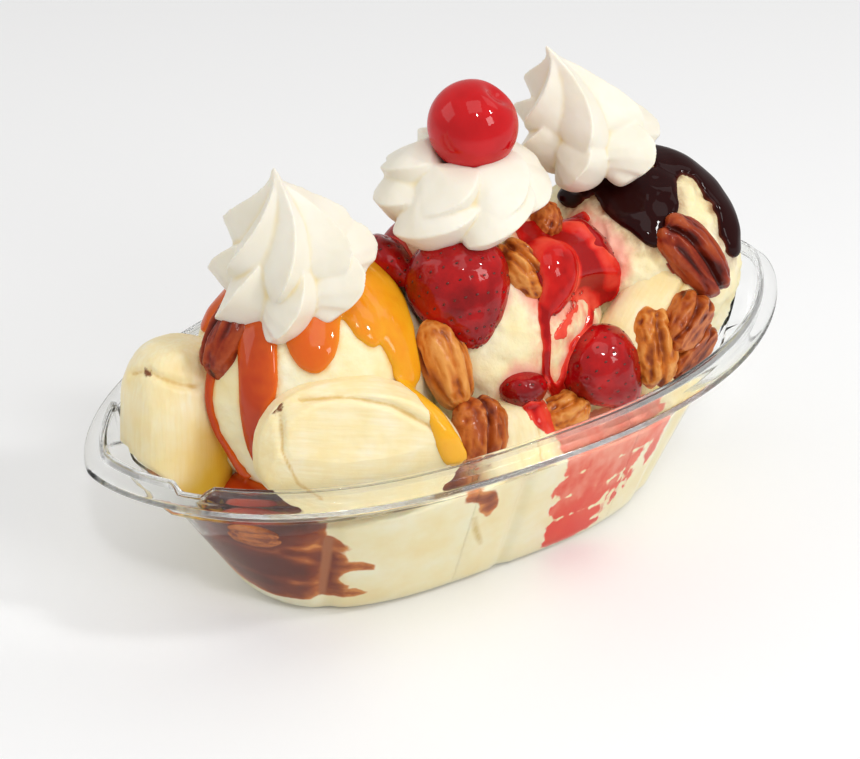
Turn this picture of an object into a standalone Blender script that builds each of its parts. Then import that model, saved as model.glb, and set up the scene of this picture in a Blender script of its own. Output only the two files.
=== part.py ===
"""Banana split: three scoops of vanilla ice cream in a clear plastic boat dish.

Whipped cream rosettes, a cherry, banana pieces, strawberries and pecan halves lie on the scoops.
The frame has its origin on the table under the middle of the dish, X along the dish, Z up.
"""
import bmesh
import bpy
import math
import numpy as np
from mathutils import Euler, Matrix, Vector
from mathutils.bvhtree import BVHTree

MM = 0.001
GAP = 0.3 * MM                    # clearance that neighbouring pieces keep
SHARP = math.radians(40)          # edges that turn further are drawn sharp

# Dish: one thin vacuum-formed sheet, measured on its upper face
DISH_HALF_LENGTH = 107.0 * MM     # out to the edge of the flange
DISH_HALF_WIDTH = 54.7 * MM
DISH_POINT = 2.52                 # the outline is y = width * (1 - x ** DISH_POINT) ** DISH_FULL
DISH_FULL = 0.643
FOOT_HALF_LENGTH = 64.0 * MM
FOOT_HALF_WIDTH = 28.8 * MM
FOOT_SQUARE = 3.3                 # exponent of the foot's rounded rectangle
FOOT_ROUND = 4.0 * MM
SHEET = 0.8 * MM
FLANGE_HEIGHT = 57.0 * MM
RIDGE_HEIGHT = 61.2 * MM
RIDGE_INSETS = (4.1 * MM, 4.6 * MM, 5.8 * MM, 6.5 * MM)
RIDGE_SHOULDER = 0.8 * MM         # how far the ridge's inner edge lies under its top
FLANGE_DROOP = 0.2 * MM
BAND_INSET = 7.0 * MM             # foot of the upright band under the ridge
BOWL_HALF_LENGTH = 94.0 * MM      # the sloping wall, if it ran up to the flange's height
BOWL_HALF_WIDTH = 48.3 * MM
LEDGE_HEIGHT = 48.6 * MM          # the wall's upper edge along the sides
SHELF_HEIGHT = 56.4 * MM          # and round the two ends
LEDGE_RISE = 0.8 * MM
LEDGE_END = 86.0 * MM             # where the edge climbs from the one height to the other
LEDGE_CLIMB = 6.0 * MM
NOTCH_PLACE = -92.5 * MM          # the ridge is broken by a thumb notch on both sides of the left end
NOTCH_HALF_WIDTH = 3.6 * MM
NOTCH_DEPTH = 0.85                # share of the ridge's height
FLUTE_PLACES = (-50.0 * MM, 0.0, 50.0 * MM)
FLUTE_HALF_WIDTH = 2.9 * MM
FLUTE_DEPTH = 1.3 * MM
FLUTE_START = 0.09                # shares of the wall's height where the flutes start and end
FLUTE_END = 0.86
COLUMNS_PER_QUARTER = 7
COLUMN_SPACE = 0.03               # least angle between a flute's columns and the others
RIM_SHARES = (0.77, 0.23, 13)     # rim x share = 0.77 * foot x share + 0.23 * (foot x share) ** 13

# Ice cream: centre and radii of each ball, and the level that the balls have settled to in the dish
BALLS = {
    "left": ((-41.0, 0.0, 64.0), (33.0, 33.0, 34.0)),
    "middle": ((10.0, 0.0, 66.0), (34.5, 34.5, 36.0)),
    "right": ((60.0, 0.0, 68.0), (31.0, 31.0, 33.0)),
}
SEAMS = (-15.2 * MM, 36.8 * MM)   # where neighbouring balls press flat against each other
MOUND_CENTRE = (0.0, 0.0, 10.0 * MM)
MOUND_RADII = (96.0 * MM, 95.0 * MM, 42.0 * MM)
ROOM_TOP = 160.0 * MM             # above everything, as are the limits of a scoop's share
SHARE_END = 120.0 * MM
SHARE_SIDE = 100.0 * MM
SHARE_HEIGHTS = (-30.0 * MM, 270.0 * MM)

# Whipped cream: rings of (height share, radius share, turn in degrees) from the foot to the tip
STAR_POINTS = 6
STAR_DEPTH = 0.24
POINTS_PER_STAR_POINT = 4
VALLEY_SHARPNESS = 1.5
LEAN_POWER = 1.6                  # a rosette leans little at its foot and most at its tip
PEAKED = ((0.0, 0.7, -20), (0.1, 1.0, -5), (0.22, 0.9, 15), (0.3, 0.74, 30), (0.41, 0.84, 48),
          (0.56, 0.52, 70), (0.76, 0.2, 88), (1.0, 0.02, 100))
FLAT_TOPPED = ((0.0, 0.7, -20), (0.16, 1.0, -5), (0.34, 0.96, 15), (0.5, 0.76, 32), (0.68, 0.84, 52),
               (0.88, 0.72, 72), (1.0, 0.4, 84))

# Cherry
CHERRY_CENTRE = (7.0, 0.0, 127.8)
CHERRY_RADIUS = 11.9 * MM
STALK_DIMPLE = 0.22               # its depth as a share of the radius
DIMPLE_START = 0.86               # cosine of the angle at which it starts

# Toppings, as shares of a piece's half width or height
PECAN_GROOVE = 0.38
PECAN_GROOVE_WIDTH = 0.25
PECAN_UNDERSIDE = 0.3
PECAN_TAPER = 0.1
BERRY_TAPER = 0.28
BERRY_TIP = 0.12
BERRY_UNDERSIDE = 0.35
BANANA_CORNERS = 5
BANANA_CORNER = 0.03
BANANA_UNDERSIDE = 0.25

# Toppings: place in millimetres, the way that the piece faces (heading, rise) and its spin, in degrees,
# then its length, width and height in millimetres
PECANS = {
    "left": ((-66.5, -1.0, 86.5), (180, 37), -79, (23, 13, 9)),
    "centre": ((10.5, -21.0, 94.5), (-104, 52), -60, (19, 12, 9)),
    "top": ((26.0, -9.0, 98.0), (-60, 50), -140, (12, 9, 7)),
    "long": ((-15.4, -27.5, 76.0), (-100, 25), -80, (26, 13, 9)),
    "round": ((-11.0, -39.0, 60.0), (-80, 30), -110, (20, 17, 10)),
    "front": ((14.2, -38.0, 56.5), (-95, 45), 14, (18, 12, 9)),
    "ridged": ((42.5, -37.5, 68.0), (-100, 35), -96, (23, 15, 8)),
    "right_upper": ((54.0, -37.5, 73.0), (-80, 40), -150, (20, 13, 9)),
    "right_under": ((56.0, -38.5, 62.5), (-80, 38), -154, (22, 12, 8)),
    "big": ((62.8, -27.0, 85.0), (-84, 30), -64, (28, 15, 9)),
    "back_left": ((-30.0, 25.0, 84.0), (75, 30), -40, (24, 13, 9)),
    "back_right": ((66.0, 30.0, 74.0), (85, 15), -120, (24, 13, 9)),
}
STRAWBERRIES = {
    "big": ((-5.0, -16.0, 89.0), (-142, 41), -59, (32, 29, 17)),
    "centre": ((18.0, -22.5, 89.5), (-81, 43), -116, (21, 17, 9)),
    "back_right": ((36.5, -14.5, 84.5), (-60, 45), -75, (30, 17, 10)),
    "front_right": ((29.5, -33.5, 63.5), (-95, 35), -57, (27, 24, 15)),
    "small": ((3.5, -34.0, 62.5), (-95, 30), -101, (18, 14, 10)),
    "far_left": ((-17.5, 3.0, 88.0), (160, 60), 20, (24, 18, 12)),
    "back": ((16.0, 30.0, 82.0), (80, 30), -70, (28, 24, 14)),
}
BANANA_SLICES = {
    "front": ((-47.0, -37.0, 66.0), (-104, 24), -12, (56, 38, 12)),
}
BANANA_ENDS = {
    "left": ((-78.0, 7.0, 56.5), (-150, 20), -80, (48, 30, 22)),
    "front_middle": ((-0.5, -34.0, 49.5), (-90, 30), -95, (26, 30, 16)),
    "right": ((50.0, -26.0, 71.0), (-95, 45), -140, (42, 24, 11)),
    "back": ((-28.0, 38.0, 58.0), (95, 25), -4, (56, 30, 14)),
}

for old in list(bpy.data.objects):
    bpy.data.objects.remove(old)

food = bpy.data.collections.new("banana_split")
cutters = bpy.data.collections.new("banana_split_cutters")
for group in (food, cutters):
    bpy.context.scene.collection.children.link(group)


def material(name, colour, roughness, alpha=1.0):
    """A plain coloured surface; alpha under 1 is clear plastic."""
    made = bpy.data.materials.new(name)
    made.use_nodes = True
    surface = made.node_tree.nodes["Principled BSDF"]
    surface.inputs["Base Color"].default_value = (*colour, 1.0)
    surface.inputs["Roughness"].default_value = roughness
    surface.inputs["Metallic"].default_value = 0.0
    surface.inputs["Alpha"].default_value = alpha
    return made


clear_plastic = material("clear_plastic", (0.86, 0.89, 0.90), 0.08, 0.3)
vanilla = material("vanilla_ice_cream", (0.93, 0.86, 0.64), 0.5)
cream = material("whipped_cream", (0.95, 0.93, 0.86), 0.45)
cherry_red = material("cherry_red", (0.62, 0.01, 0.02), 0.12)
berry_red = material("strawberry_red", (0.45, 0.01, 0.02), 0.2)
banana_flesh = material("banana_flesh", (0.93, 0.84, 0.52), 0.5)
pecan_brown = material("pecan_brown", (0.38, 0.14, 0.04), 0.4)


def add(name, mesh_source, surface):
    """Turn a bmesh into a named, smooth-shaded object in the food collection."""
    mesh = bpy.data.meshes.new(name)
    mesh_source.normal_update()
    bmesh.ops.recalc_face_normals(mesh_source, faces=mesh_source.faces)
    mesh_source.to_mesh(mesh)
    mesh_source.free()
    mesh.shade_smooth()
    mesh.set_sharp_from_angle(angle=SHARP)
    if surface:
        mesh.materials.append(surface)
    made = bpy.data.objects.new(name, mesh)
    food.objects.link(made)
    return made


def make_cutter(made):
    """Keep an object as a tool for the boolean cuts, out of the model itself."""
    food.objects.unlink(made)
    cutters.objects.link(made)
    made.hide_render = True
    made.display_type = "WIRE"
    return made


def boolean(piece, operation, tool):
    """Add an exact boolean modifier that cuts or joins the piece with the tool."""
    modifier = piece.modifiers.new(operation.lower() + "_" + tool.name, "BOOLEAN")
    modifier.operation = operation
    modifier.object = tool
    modifier.solver = "EXACT"


def evaluated(piece):
    """The piece's finished mesh in world space, as a bmesh of triangles."""
    bpy.context.view_layer.update()
    depsgraph = bpy.context.evaluated_depsgraph_get()
    mesh = bpy.data.meshes.new_from_object(piece.evaluated_get(depsgraph))
    mesh.transform(piece.matrix_world)
    source = bmesh.new()
    source.from_mesh(mesh)
    bmesh.ops.triangulate(source, faces=source.faces)
    source.normal_update()
    return source


def grown(piece):
    """A cutter that is the piece as it stands, grown outwards by the clearance."""
    source = evaluated(piece)
    for vertex in source.verts:
        vertex.co += vertex.normal * GAP
    return make_cutter(add("around_" + piece.name, source, None))


def sphere(segments, rings, reshape):
    """A UV sphere with its poles on X, each point then moved by a function of its unit position."""
    source = bmesh.new()
    bmesh.ops.create_uvsphere(source, u_segments=segments, v_segments=rings, radius=1.0)
    for vertex in source.verts:
        unit = Vector((vertex.co.z, vertex.co.x, vertex.co.y))
        vertex.co = reshape(unit)
    return source


def loft(rings, close_start, close_end):
    """Join closed rings of equally many points into one surface of triangles."""
    source = bmesh.new()
    loops = [[source.verts.new(point) for point in ring] for ring in rings]
    count = len(loops[0])
    for lower, upper in zip(loops, loops[1:]):
        for k in range(count):
            source.faces.new((lower[k], lower[(k + 1) % count], upper[(k + 1) % count], upper[k]))
    bmesh.ops.triangulate(source, faces=source.faces, quad_method="FIXED")
    if close_start:
        source.faces.new(list(reversed(loops[0])))
    if close_end:
        source.faces.new(loops[-1])
    return source


def spot(place, facing, spin):
    """Matrix of a topping: X along its length, Z the way that it faces."""
    heading, rise = (math.radians(angle) for angle in facing)
    out = Vector((math.cos(heading) * math.cos(rise), math.sin(heading) * math.cos(rise), math.sin(rise)))
    level = Vector((0.0, 0.0, 1.0)).cross(out).normalized()
    uphill = out.cross(level)
    turn = math.radians(spin)
    along = level * math.cos(turn) + uphill * math.sin(turn)
    across = out.cross(along)
    turned = Matrix((along, across, out)).transposed().to_4x4()
    return Matrix.Translation(Vector(place) * MM) @ turned


# Dish -------------------------------------------------------------------------------------------

def rim_share(foot_share):
    """Where along the rim, as a share of its half length, a column of the wall ends."""
    straight, hooked, power = RIM_SHARES
    return straight * foot_share + hooked * np.sign(foot_share) * np.abs(foot_share) ** power


def dish_columns():
    """Shares (foot x, foot y, rim x) of the places round the dish, even along the rim."""
    angles = np.linspace(0.0, math.pi / 2, 400)
    rim_x = rim_share(np.cos(angles) ** (2.0 / FOOT_SQUARE))
    rim_y = (1.0 - np.clip(rim_x, 0.0, 1.0) ** DISH_POINT) ** DISH_FULL
    steps = np.hypot(np.diff(rim_x) * DISH_HALF_LENGTH, np.diff(rim_y) * DISH_HALF_WIDTH)
    run = np.concatenate(([0.0], np.cumsum(steps)))
    even = np.interp(np.linspace(0.0, run[-1], COLUMNS_PER_QUARTER + 1), run, angles)
    flutes = []
    for place in FLUTE_PLACES:
        for shift in (-1.0, 0.0, 1.0):
            share = (place + shift * FLUTE_HALF_WIDTH) / FOOT_HALF_LENGTH
            if 0.0 <= share < 1.0:
                flutes.append(math.acos(share ** (FOOT_SQUARE / 2.0)))
    spaced = [angle for angle in even if min(abs(angle - flute) for flute in flutes) > COLUMN_SPACE]
    quarter = sorted(spaced + flutes)
    half = quarter + [math.pi - angle for angle in reversed(quarter) if angle < math.pi / 2 - 1e-6]
    full = half + [2 * math.pi - angle for angle in reversed(half) if 1e-6 < angle < math.pi - 1e-6]
    shares = []
    for angle in full:
        foot_x = math.copysign(abs(math.cos(angle)) ** (2.0 / FOOT_SQUARE), math.cos(angle))
        shares.append((foot_x, math.sin(angle), float(rim_share(foot_x))))
    return shares


def boat_point(column, half_length, half_width, height):
    """A point on the boat-shaped outline of a given size."""
    share = min(abs(column[2]), 1.0)
    y = half_width * (1.0 - share ** DISH_POINT) ** DISH_FULL
    return Vector((half_length * column[2], math.copysign(y, column[1]), height))


def rim_point(column, inset, height):
    """A point moved in from the flange's edge."""
    return boat_point(column, DISH_HALF_LENGTH - inset, DISH_HALF_WIDTH - inset, height)


def foot_point(column, inset, height):
    """A point on the foot's rounded rectangle, moved in from its edge."""
    return Vector(((FOOT_HALF_LENGTH - inset) * column[0], (FOOT_HALF_WIDTH - inset) * column[1], height))


def bump(value, place, half_width):
    """A smooth bump: 1 at the place, 0 beyond its half width."""
    off = (value - place) / half_width
    return 1.0 - off * off if abs(off) < 1.0 else 0.0


def dish_column_points(column):
    """The sheet's upper face along one column, from the floor out to the flange's edge."""
    foot = foot_point(column, 0.0, SHEET)
    end_share = (abs(column[2]) * BOWL_HALF_LENGTH - LEDGE_END) / LEDGE_CLIMB
    edge_height = LEDGE_HEIGHT + (SHELF_HEIGHT - LEDGE_HEIGHT) * min(max(end_share, 0.0), 1.0)
    bowl = boat_point(column, BOWL_HALF_LENGTH, BOWL_HALF_WIDTH, SHELF_HEIGHT)
    edge = foot.lerp(bowl, (edge_height - SHEET) / (SHELF_HEIGHT - SHEET))
    inward = Vector((-foot.x / FOOT_HALF_LENGTH, -foot.y / FOOT_HALF_WIDTH, 0.0)).normalized()
    groove = inward * FLUTE_DEPTH * sum(bump(foot.x, place, FLUTE_HALF_WIDTH) for place in FLUTE_PLACES)
    wall_low = foot.lerp(edge, FLUTE_START) + groove
    corner_in = foot_point(column, FOOT_ROUND, SHEET)
    corner = corner_in * 0.25 + (foot + groove * 0.7) * 0.5 + wall_low * 0.25
    dip = bump(column[2] * DISH_HALF_LENGTH, NOTCH_PLACE, NOTCH_HALF_WIDTH)
    top = RIDGE_HEIGHT - (RIDGE_HEIGHT - FLANGE_HEIGHT) * NOTCH_DEPTH * dip
    shoulder = top - RIDGE_SHOULDER * (1.0 - dip)
    return [corner_in, corner, wall_low, foot.lerp(edge, FLUTE_END) + groove, edge,
            rim_point(column, BAND_INSET, edge_height + LEDGE_RISE),
            rim_point(column, RIDGE_INSETS[3], shoulder),
            rim_point(column, RIDGE_INSETS[2], top),
            rim_point(column, RIDGE_INSETS[1], top),
            rim_point(column, RIDGE_INSETS[0], FLANGE_HEIGHT),
            rim_point(column, 0.0, FLANGE_HEIGHT - FLANGE_DROOP)]


columns = [dish_column_points(column) for column in dish_columns()]
dish_rings = [list(ring) for ring in zip(*columns)]

dish = add("dish", loft(dish_rings, True, False), clear_plastic)
sheet = dish.modifiers.new("sheet", "SOLIDIFY")
sheet.thickness = SHEET
sheet.offset = -1.0
sheet.use_even_offset = True

# The room inside the dish, carried straight up: food that reaches below the rim is trimmed to it
wall_rings = dish_rings[:7]       # from the floor up to the ridge's inner edge
top_ring = [Vector((point.x, point.y, ROOM_TOP)) for point in wall_rings[-1]]
room = make_cutter(add("room", loft(wall_rings + [top_ring], True, True), None))
shrink = room.modifiers.new("clearance", "DISPLACE")
shrink.strength = -GAP
shrink.mid_level = 0.0

# Ice cream --------------------------------------------------------------------------------------

mound_source = sphere(16, 8, lambda unit: Vector(MOUND_CENTRE) + unit * Vector(MOUND_RADII))
mound = make_cutter(add("mound", mound_source, None))
placed = [grown(mound)]           # everything that a later piece has to keep clear of
boolean(mound, "INTERSECT", room)

edges = (-SHARE_END, *SEAMS, SHARE_END)
for (side, (centre, radii)), low, high in zip(BALLS.items(), edges, edges[1:]):
    ball = sphere(18, 10, lambda unit: (Vector(centre) + unit * Vector(radii)) * MM)
    scoop = add("scoop_" + side, ball, vanilla)
    placed.append(grown(scoop))
    share = bmesh.new()
    bmesh.ops.create_cube(share, size=1.0)
    for vertex in share.verts:
        x, y, z = vertex.co
        end = low + GAP / 2 if x < 0 else high - GAP / 2
        vertex.co = (end, math.copysign(SHARE_SIDE, y), SHARE_HEIGHTS[z > 0])
    boolean(scoop, "UNION", mound)
    boolean(scoop, "INTERSECT", make_cutter(add("share_" + side, share, None)))


# Toppings on the ice cream ----------------------------------------------------------------------

def settle(piece, reaches_below_rim=True):
    """Press a topping on what lies under it: the ice cream and earlier toppings cut it, with clearance."""
    surface = BVHTree.FromBMesh(evaluated(piece))
    around = grown(piece)
    for cutter in placed:
        if surface.overlap(BVHTree.FromBMesh(evaluated(cutter))):
            boolean(piece, "DIFFERENCE", cutter)
    if reaches_below_rim:
        boolean(piece, "INTERSECT", room)
    placed.append(around)


def slice_of_banana(length, width, height):
    """A thick slice cut at a slant: an oval disc with slightly rounded edges."""
    source = bmesh.new()
    bmesh.ops.create_cone(source, cap_ends=True, segments=18, radius1=0.5, radius2=0.5, depth=1.0)
    for vertex in source.verts:
        vertex.co = vertex.co * Vector((length, width, height)) * MM
    return source


def banana_end(length, width, height):
    """A blunt-ended piece of banana with five soft corners, flat on its underside where it was cut."""
    def reshape(unit):
        around = math.atan2(unit.z, unit.y)
        radius = math.hypot(unit.y, unit.z)
        across = radius ** 0.45 * (1.0 + BANANA_CORNER * math.cos(BANANA_CORNERS * around))
        along = math.copysign(abs(unit.x) ** 0.55, unit.x)
        up = max(across * math.sin(around), -BANANA_UNDERSIDE)
        return Vector((along * length / 2, across * math.cos(around) * width / 2, up * height * 0.8)) * MM
    return sphere(10, 8, reshape)


def strawberry(length, width, height):
    """A halved berry on its cut side, blunt at the stalk end and narrow at the tip."""
    def reshape(unit):
        narrow = 1.0 - BERRY_TAPER * unit.x - BERRY_TIP * unit.x ** 2
        up = unit.z if unit.z > 0 else BERRY_UNDERSIDE * unit.z
        return Vector((unit.x * length / 2, unit.y * narrow * width / 2, up * narrow * height * 0.75)) * MM
    return sphere(10, 7, reshape)


def pecan(length, width, height):
    """A pecan half: two long ridges with a groove between them, on a flatter underside."""
    def reshape(unit):
        groove = 1.0 - PECAN_GROOVE * math.exp(-(unit.y / PECAN_GROOVE_WIDTH) ** 2)
        up = unit.z * groove if unit.z > 0 else PECAN_UNDERSIDE * unit.z
        blunt = math.copysign(abs(unit.x) ** 0.8, unit.x)
        across = unit.y * (1.0 - PECAN_TAPER * unit.x)
        return Vector((blunt * length / 2, across * width / 2, up * height * 0.8)) * MM
    return sphere(8, 7, reshape)


def lay(kind, places, make, surface):
    """Make every topping of one kind from its sizes and settle it in its place."""
    for name, (place, facing, spin, sizes) in places.items():
        topping = add(kind + "_" + name, make(*sizes), surface)
        topping.matrix_world = spot(place, facing, spin)
        settle(topping)


lay("banana", BANANA_SLICES, slice_of_banana, banana_flesh)
lay("banana", BANANA_ENDS, banana_end, banana_flesh)
lay("strawberry", STRAWBERRIES, strawberry, berry_red)
lay("pecan", PECANS, pecan, pecan_brown)

# Cherry: a ball with a stalk dimple to the upper right ------------------------------------------

def cherry_shape(unit):
    dimple = max(0.0, (unit.x - DIMPLE_START) / (1.0 - DIMPLE_START))
    return unit * CHERRY_RADIUS * (1.0 - STALK_DIMPLE * dimple)


cherry = add("cherry", sphere(14, 9, cherry_shape), cherry_red)
cherry.location = Vector(CHERRY_CENTRE) * MM
cherry.rotation_euler = Euler((0.0, math.radians(-55), math.radians(-25)))
settle(cherry, False)

# Whipped cream: star-shaped rings that turn as they rise, drawn to a leaning tip -------------------

def rosette(foot, tip, radius, profile):
    """Loft the star rings of a profile from the foot's centre to the tip."""
    foot, tip = Vector(foot), Vector(tip)
    rings = []
    count = STAR_POINTS * POINTS_PER_STAR_POINT
    for height, size, turn in profile:
        centre = foot.lerp(tip, height ** LEAN_POWER)
        centre.z = foot.z + (tip.z - foot.z) * height
        ring = []
        for k in range(count):
            angle = 2 * math.pi * k / count
            valley = 0.5 - 0.5 * math.cos(STAR_POINTS * angle)
            reach = radius * size * (1.0 - STAR_DEPTH * valley ** VALLEY_SHARPNESS)
            around = angle + math.radians(turn)
            ring.append((centre + Vector((math.cos(around), math.sin(around), 0.0)) * reach) * MM)
        rings.append(ring)
    return loft(rings, True, True)


ROSETTES = {
    "left": ((-45.0, 0.0, 86.0), (-51.0, 0.0, 132.5), 25.0, PEAKED),
    "middle": ((6.0, 0.0, 93.5), (6.0, 0.0, 123.0), 26.0, FLAT_TOPPED),
    "right": ((49.0, 6.0, 97.0), (32.0, 6.0, 142.5), 23.5, PEAKED),
}
for side, (foot, tip, radius, profile) in ROSETTES.items():
    swirl = add("cream_" + side, rosette(foot, tip, radius, profile), cream)
    settle(swirl, False)
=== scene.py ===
"""Looks of the banana split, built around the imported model: +X along the dish, +Z up, metres."""
import itertools
import math

import bmesh
import bpy
import numpy as np
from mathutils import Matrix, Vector
from mathutils.bvhtree import BVHTree


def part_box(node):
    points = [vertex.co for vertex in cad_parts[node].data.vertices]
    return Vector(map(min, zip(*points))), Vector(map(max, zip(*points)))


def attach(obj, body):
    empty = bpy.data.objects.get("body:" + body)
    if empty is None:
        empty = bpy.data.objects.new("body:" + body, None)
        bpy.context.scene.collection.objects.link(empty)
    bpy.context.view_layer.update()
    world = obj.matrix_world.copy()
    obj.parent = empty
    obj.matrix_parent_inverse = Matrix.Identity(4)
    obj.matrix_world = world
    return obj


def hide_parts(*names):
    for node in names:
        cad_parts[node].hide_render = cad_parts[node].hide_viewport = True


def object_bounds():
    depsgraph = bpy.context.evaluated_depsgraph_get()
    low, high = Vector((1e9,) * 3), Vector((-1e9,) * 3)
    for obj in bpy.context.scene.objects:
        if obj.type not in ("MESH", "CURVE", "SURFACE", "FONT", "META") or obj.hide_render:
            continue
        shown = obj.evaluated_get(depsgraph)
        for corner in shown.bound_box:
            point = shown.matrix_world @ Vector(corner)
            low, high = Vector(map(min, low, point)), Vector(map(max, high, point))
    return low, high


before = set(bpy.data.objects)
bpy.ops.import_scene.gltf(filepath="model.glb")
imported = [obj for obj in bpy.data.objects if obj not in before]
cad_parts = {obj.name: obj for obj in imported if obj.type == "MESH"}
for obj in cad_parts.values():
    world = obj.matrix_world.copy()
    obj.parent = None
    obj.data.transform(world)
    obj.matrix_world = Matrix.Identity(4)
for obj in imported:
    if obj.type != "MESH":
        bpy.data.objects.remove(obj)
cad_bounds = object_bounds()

MM = 0.001
scene = bpy.context.scene
low_corner, high_corner = (Vector(corner) for corner in cad_bounds)
middle_of_all = (low_corner + high_corner) / 2


# Studio ---------------------------------------------------------------------------------------
# The dessert stands on a pale seamless table. A long lens looks down on it from the front left. A soft
# key lamp stands in front, broad panels fill from above, the right and the back left, and two small
# lamps give the wet sauces and the fruit their sharp glints.

VIEW_HEADING = math.radians(-29.0)
VIEW_RISE = math.radians(36.0)
VIEW_DISTANCE = 0.62
AIM_OFFSET = Vector((-9.7, -7.2, -14.75)) * MM      # from the middle of the whole to the view's centre
LENS, FILM_WIDTH = 94.9, 36.0
aim = middle_of_all + AIM_OFFSET
toward_view = Vector((
    math.sin(VIEW_HEADING) * math.cos(VIEW_RISE),
    -math.cos(VIEW_HEADING) * math.cos(VIEW_RISE),
    math.sin(VIEW_RISE)))

camera_data = bpy.data.cameras.new("camera")
camera_data.lens = LENS
camera_data.sensor_width = FILM_WIDTH
camera_data.clip_start = 0.01
camera = bpy.data.objects.new("camera", camera_data)
camera.location = aim + toward_view * VIEW_DISTANCE
camera.rotation_euler = toward_view.to_track_quat("Z", "Y").to_euler()
scene.collection.objects.link(camera)
scene.camera = camera
scene.view_settings.view_transform = "Standard"

ROOM_TINT, ROOM_STRENGTH = (1.0, 0.99, 0.965, 1.0), 0.56
world = bpy.data.worlds.new("studio")
world.use_nodes = True
room_light = world.node_tree.nodes["Background"]
room_light.inputs["Color"].default_value = ROOM_TINT
room_light.inputs["Strength"].default_value = ROOM_STRENGTH
scene.world = world


def heading_vector(heading, rise):
    """The direction at a heading from +X and a rise above level, both in degrees."""
    heading, rise = math.radians(heading), math.radians(rise)
    level = math.cos(rise)
    return Vector((math.cos(heading) * level, math.sin(heading) * level, math.sin(rise)))


def lamp(name, heading, rise, distance, size, power, tint=(1.0, 1.0, 1.0)):
    """A rectangular lamp seen from the dessert at a heading and a rise, turned towards it."""
    data = bpy.data.lights.new(name, "AREA")
    data.shape = "RECTANGLE"
    data.size, data.size_y = size
    data.energy = power
    data.color = tint
    made = bpy.data.objects.new(name, data)
    out = heading_vector(heading, rise)
    made.location = aim + out * distance
    made.rotation_euler = out.to_track_quat("Z", "Y").to_euler()
    scene.collection.objects.link(made)


lamp("key", -68, 36, 0.9, (0.24, 0.28), 1.3, (1.0, 0.99, 0.97))
lamp("side", 0, 50, 0.9, (0.4, 0.4), 0.5)
lamp("panel", 150, 34, 0.9, (0.6, 0.4), 0.9)
lamp("ceiling", -110, 78, 1.1, (0.6, 0.6), 1.5)
lamp("spark_high", -48, 50, 0.8, (0.05, 0.09), 1.1)
lamp("spark_low", -104, 58, 0.8, (0.04, 0.08), 0.7)

TABLE_HALF = 4.0                  # in metres, so that its edge is never seen
table_corners = [(x * TABLE_HALF, y * TABLE_HALF, 0) for x, y in ((-1, -1), (1, -1), (1, 1), (-1, 1))]
table_mesh = bpy.data.meshes.new("table")
table_mesh.from_pydata(table_corners, [], [(0, 1, 2, 3)])
table = bpy.data.objects.new("table", table_mesh)
scene.collection.objects.link(table)
table.location.z = -0.1 * MM
table_paint = bpy.data.materials.new("pale_table")
table_paint.use_nodes = True
table_coat = table_paint.node_tree.nodes["Principled BSDF"]
table_coat.inputs["Base Color"].default_value = (0.94, 0.945, 0.96, 1.0)
table_coat.inputs["Roughness"].default_value = 0.7
table_mesh.materials.append(table_paint)


# Dish -----------------------------------------------------------------------------------------
# A boat dish, vacuum-formed from one clear sheet: flat foot, sloping wall with three flutes on each
# side, a ledge and an upright band, then a folded ridge with a flat flange outside it. A thumb notch
# breaks the ridge on both sides of the left end.

SHEET = 0.8 * MM
DISH_HALF = high_corner.x
DISH_SIDE = high_corner.y
RIM_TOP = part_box("dish")[1].z
FOOT_HALF, FOOT_SIDE, FOOT_SQUARE, FOOT_ROUND = 64.0 * MM, 28.8 * MM, 3.3, 4.0 * MM
BOWL_HALF, BOWL_SIDE = 94.0 * MM, 48.3 * MM
FLANGE_LEVEL = RIM_TOP - 4.2 * MM
LEDGE_LEVEL, SHELF_LEVEL = 48.6 * MM, 56.4 * MM
FLUTES = (-50.0 * MM, 0.0, 50.0 * MM)
FLUTE_HALF, FLUTE_DEPTH = 2.9 * MM, 1.3 * MM
NOTCH, NOTCH_HALF = -92.5 * MM, 3.6 * MM
DISH_COLUMNS = 64                 # in each quarter
PLAN_POWER, PLAN_SOFTNESS = 2.52, 0.643   # how full the rim's boat shape is, and how sharp its ends are


def rim_share(foot_share):
    """How far along the rim a column stands, from how far along the foot it starts, both -1 to 1."""
    return 0.77 * foot_share + 0.23 * np.sign(foot_share) * np.abs(foot_share) ** 13


def dish_columns():
    """Angles round the foot, so spaced that the columns stand evenly along the rim."""
    fine = np.linspace(0.0, math.pi / 2, 4000)
    along = rim_share(np.cos(fine) ** (2.0 / FOOT_SQUARE))
    side = (1.0 - np.clip(along, 0.0, 1.0) ** PLAN_POWER) ** PLAN_SOFTNESS
    steps = np.hypot(np.diff(along) * DISH_HALF, np.diff(side) * DISH_SIDE)
    run = np.concatenate(([0.0], np.cumsum(steps)))
    quarter = np.interp(np.linspace(0.0, run[-1], DISH_COLUMNS + 1), run, fine)
    half = np.concatenate((quarter, math.pi - quarter[-2::-1]))
    return np.concatenate((half, 2 * math.pi - half[-2:0:-1]))


def smooth_step(value, low, high):
    """From 0 at a low value to 1 at a high one, easing in and out."""
    share = np.clip((value - low) / (high - low), 0.0, 1.0)
    return share * share * (3.0 - 2.0 * share)


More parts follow.
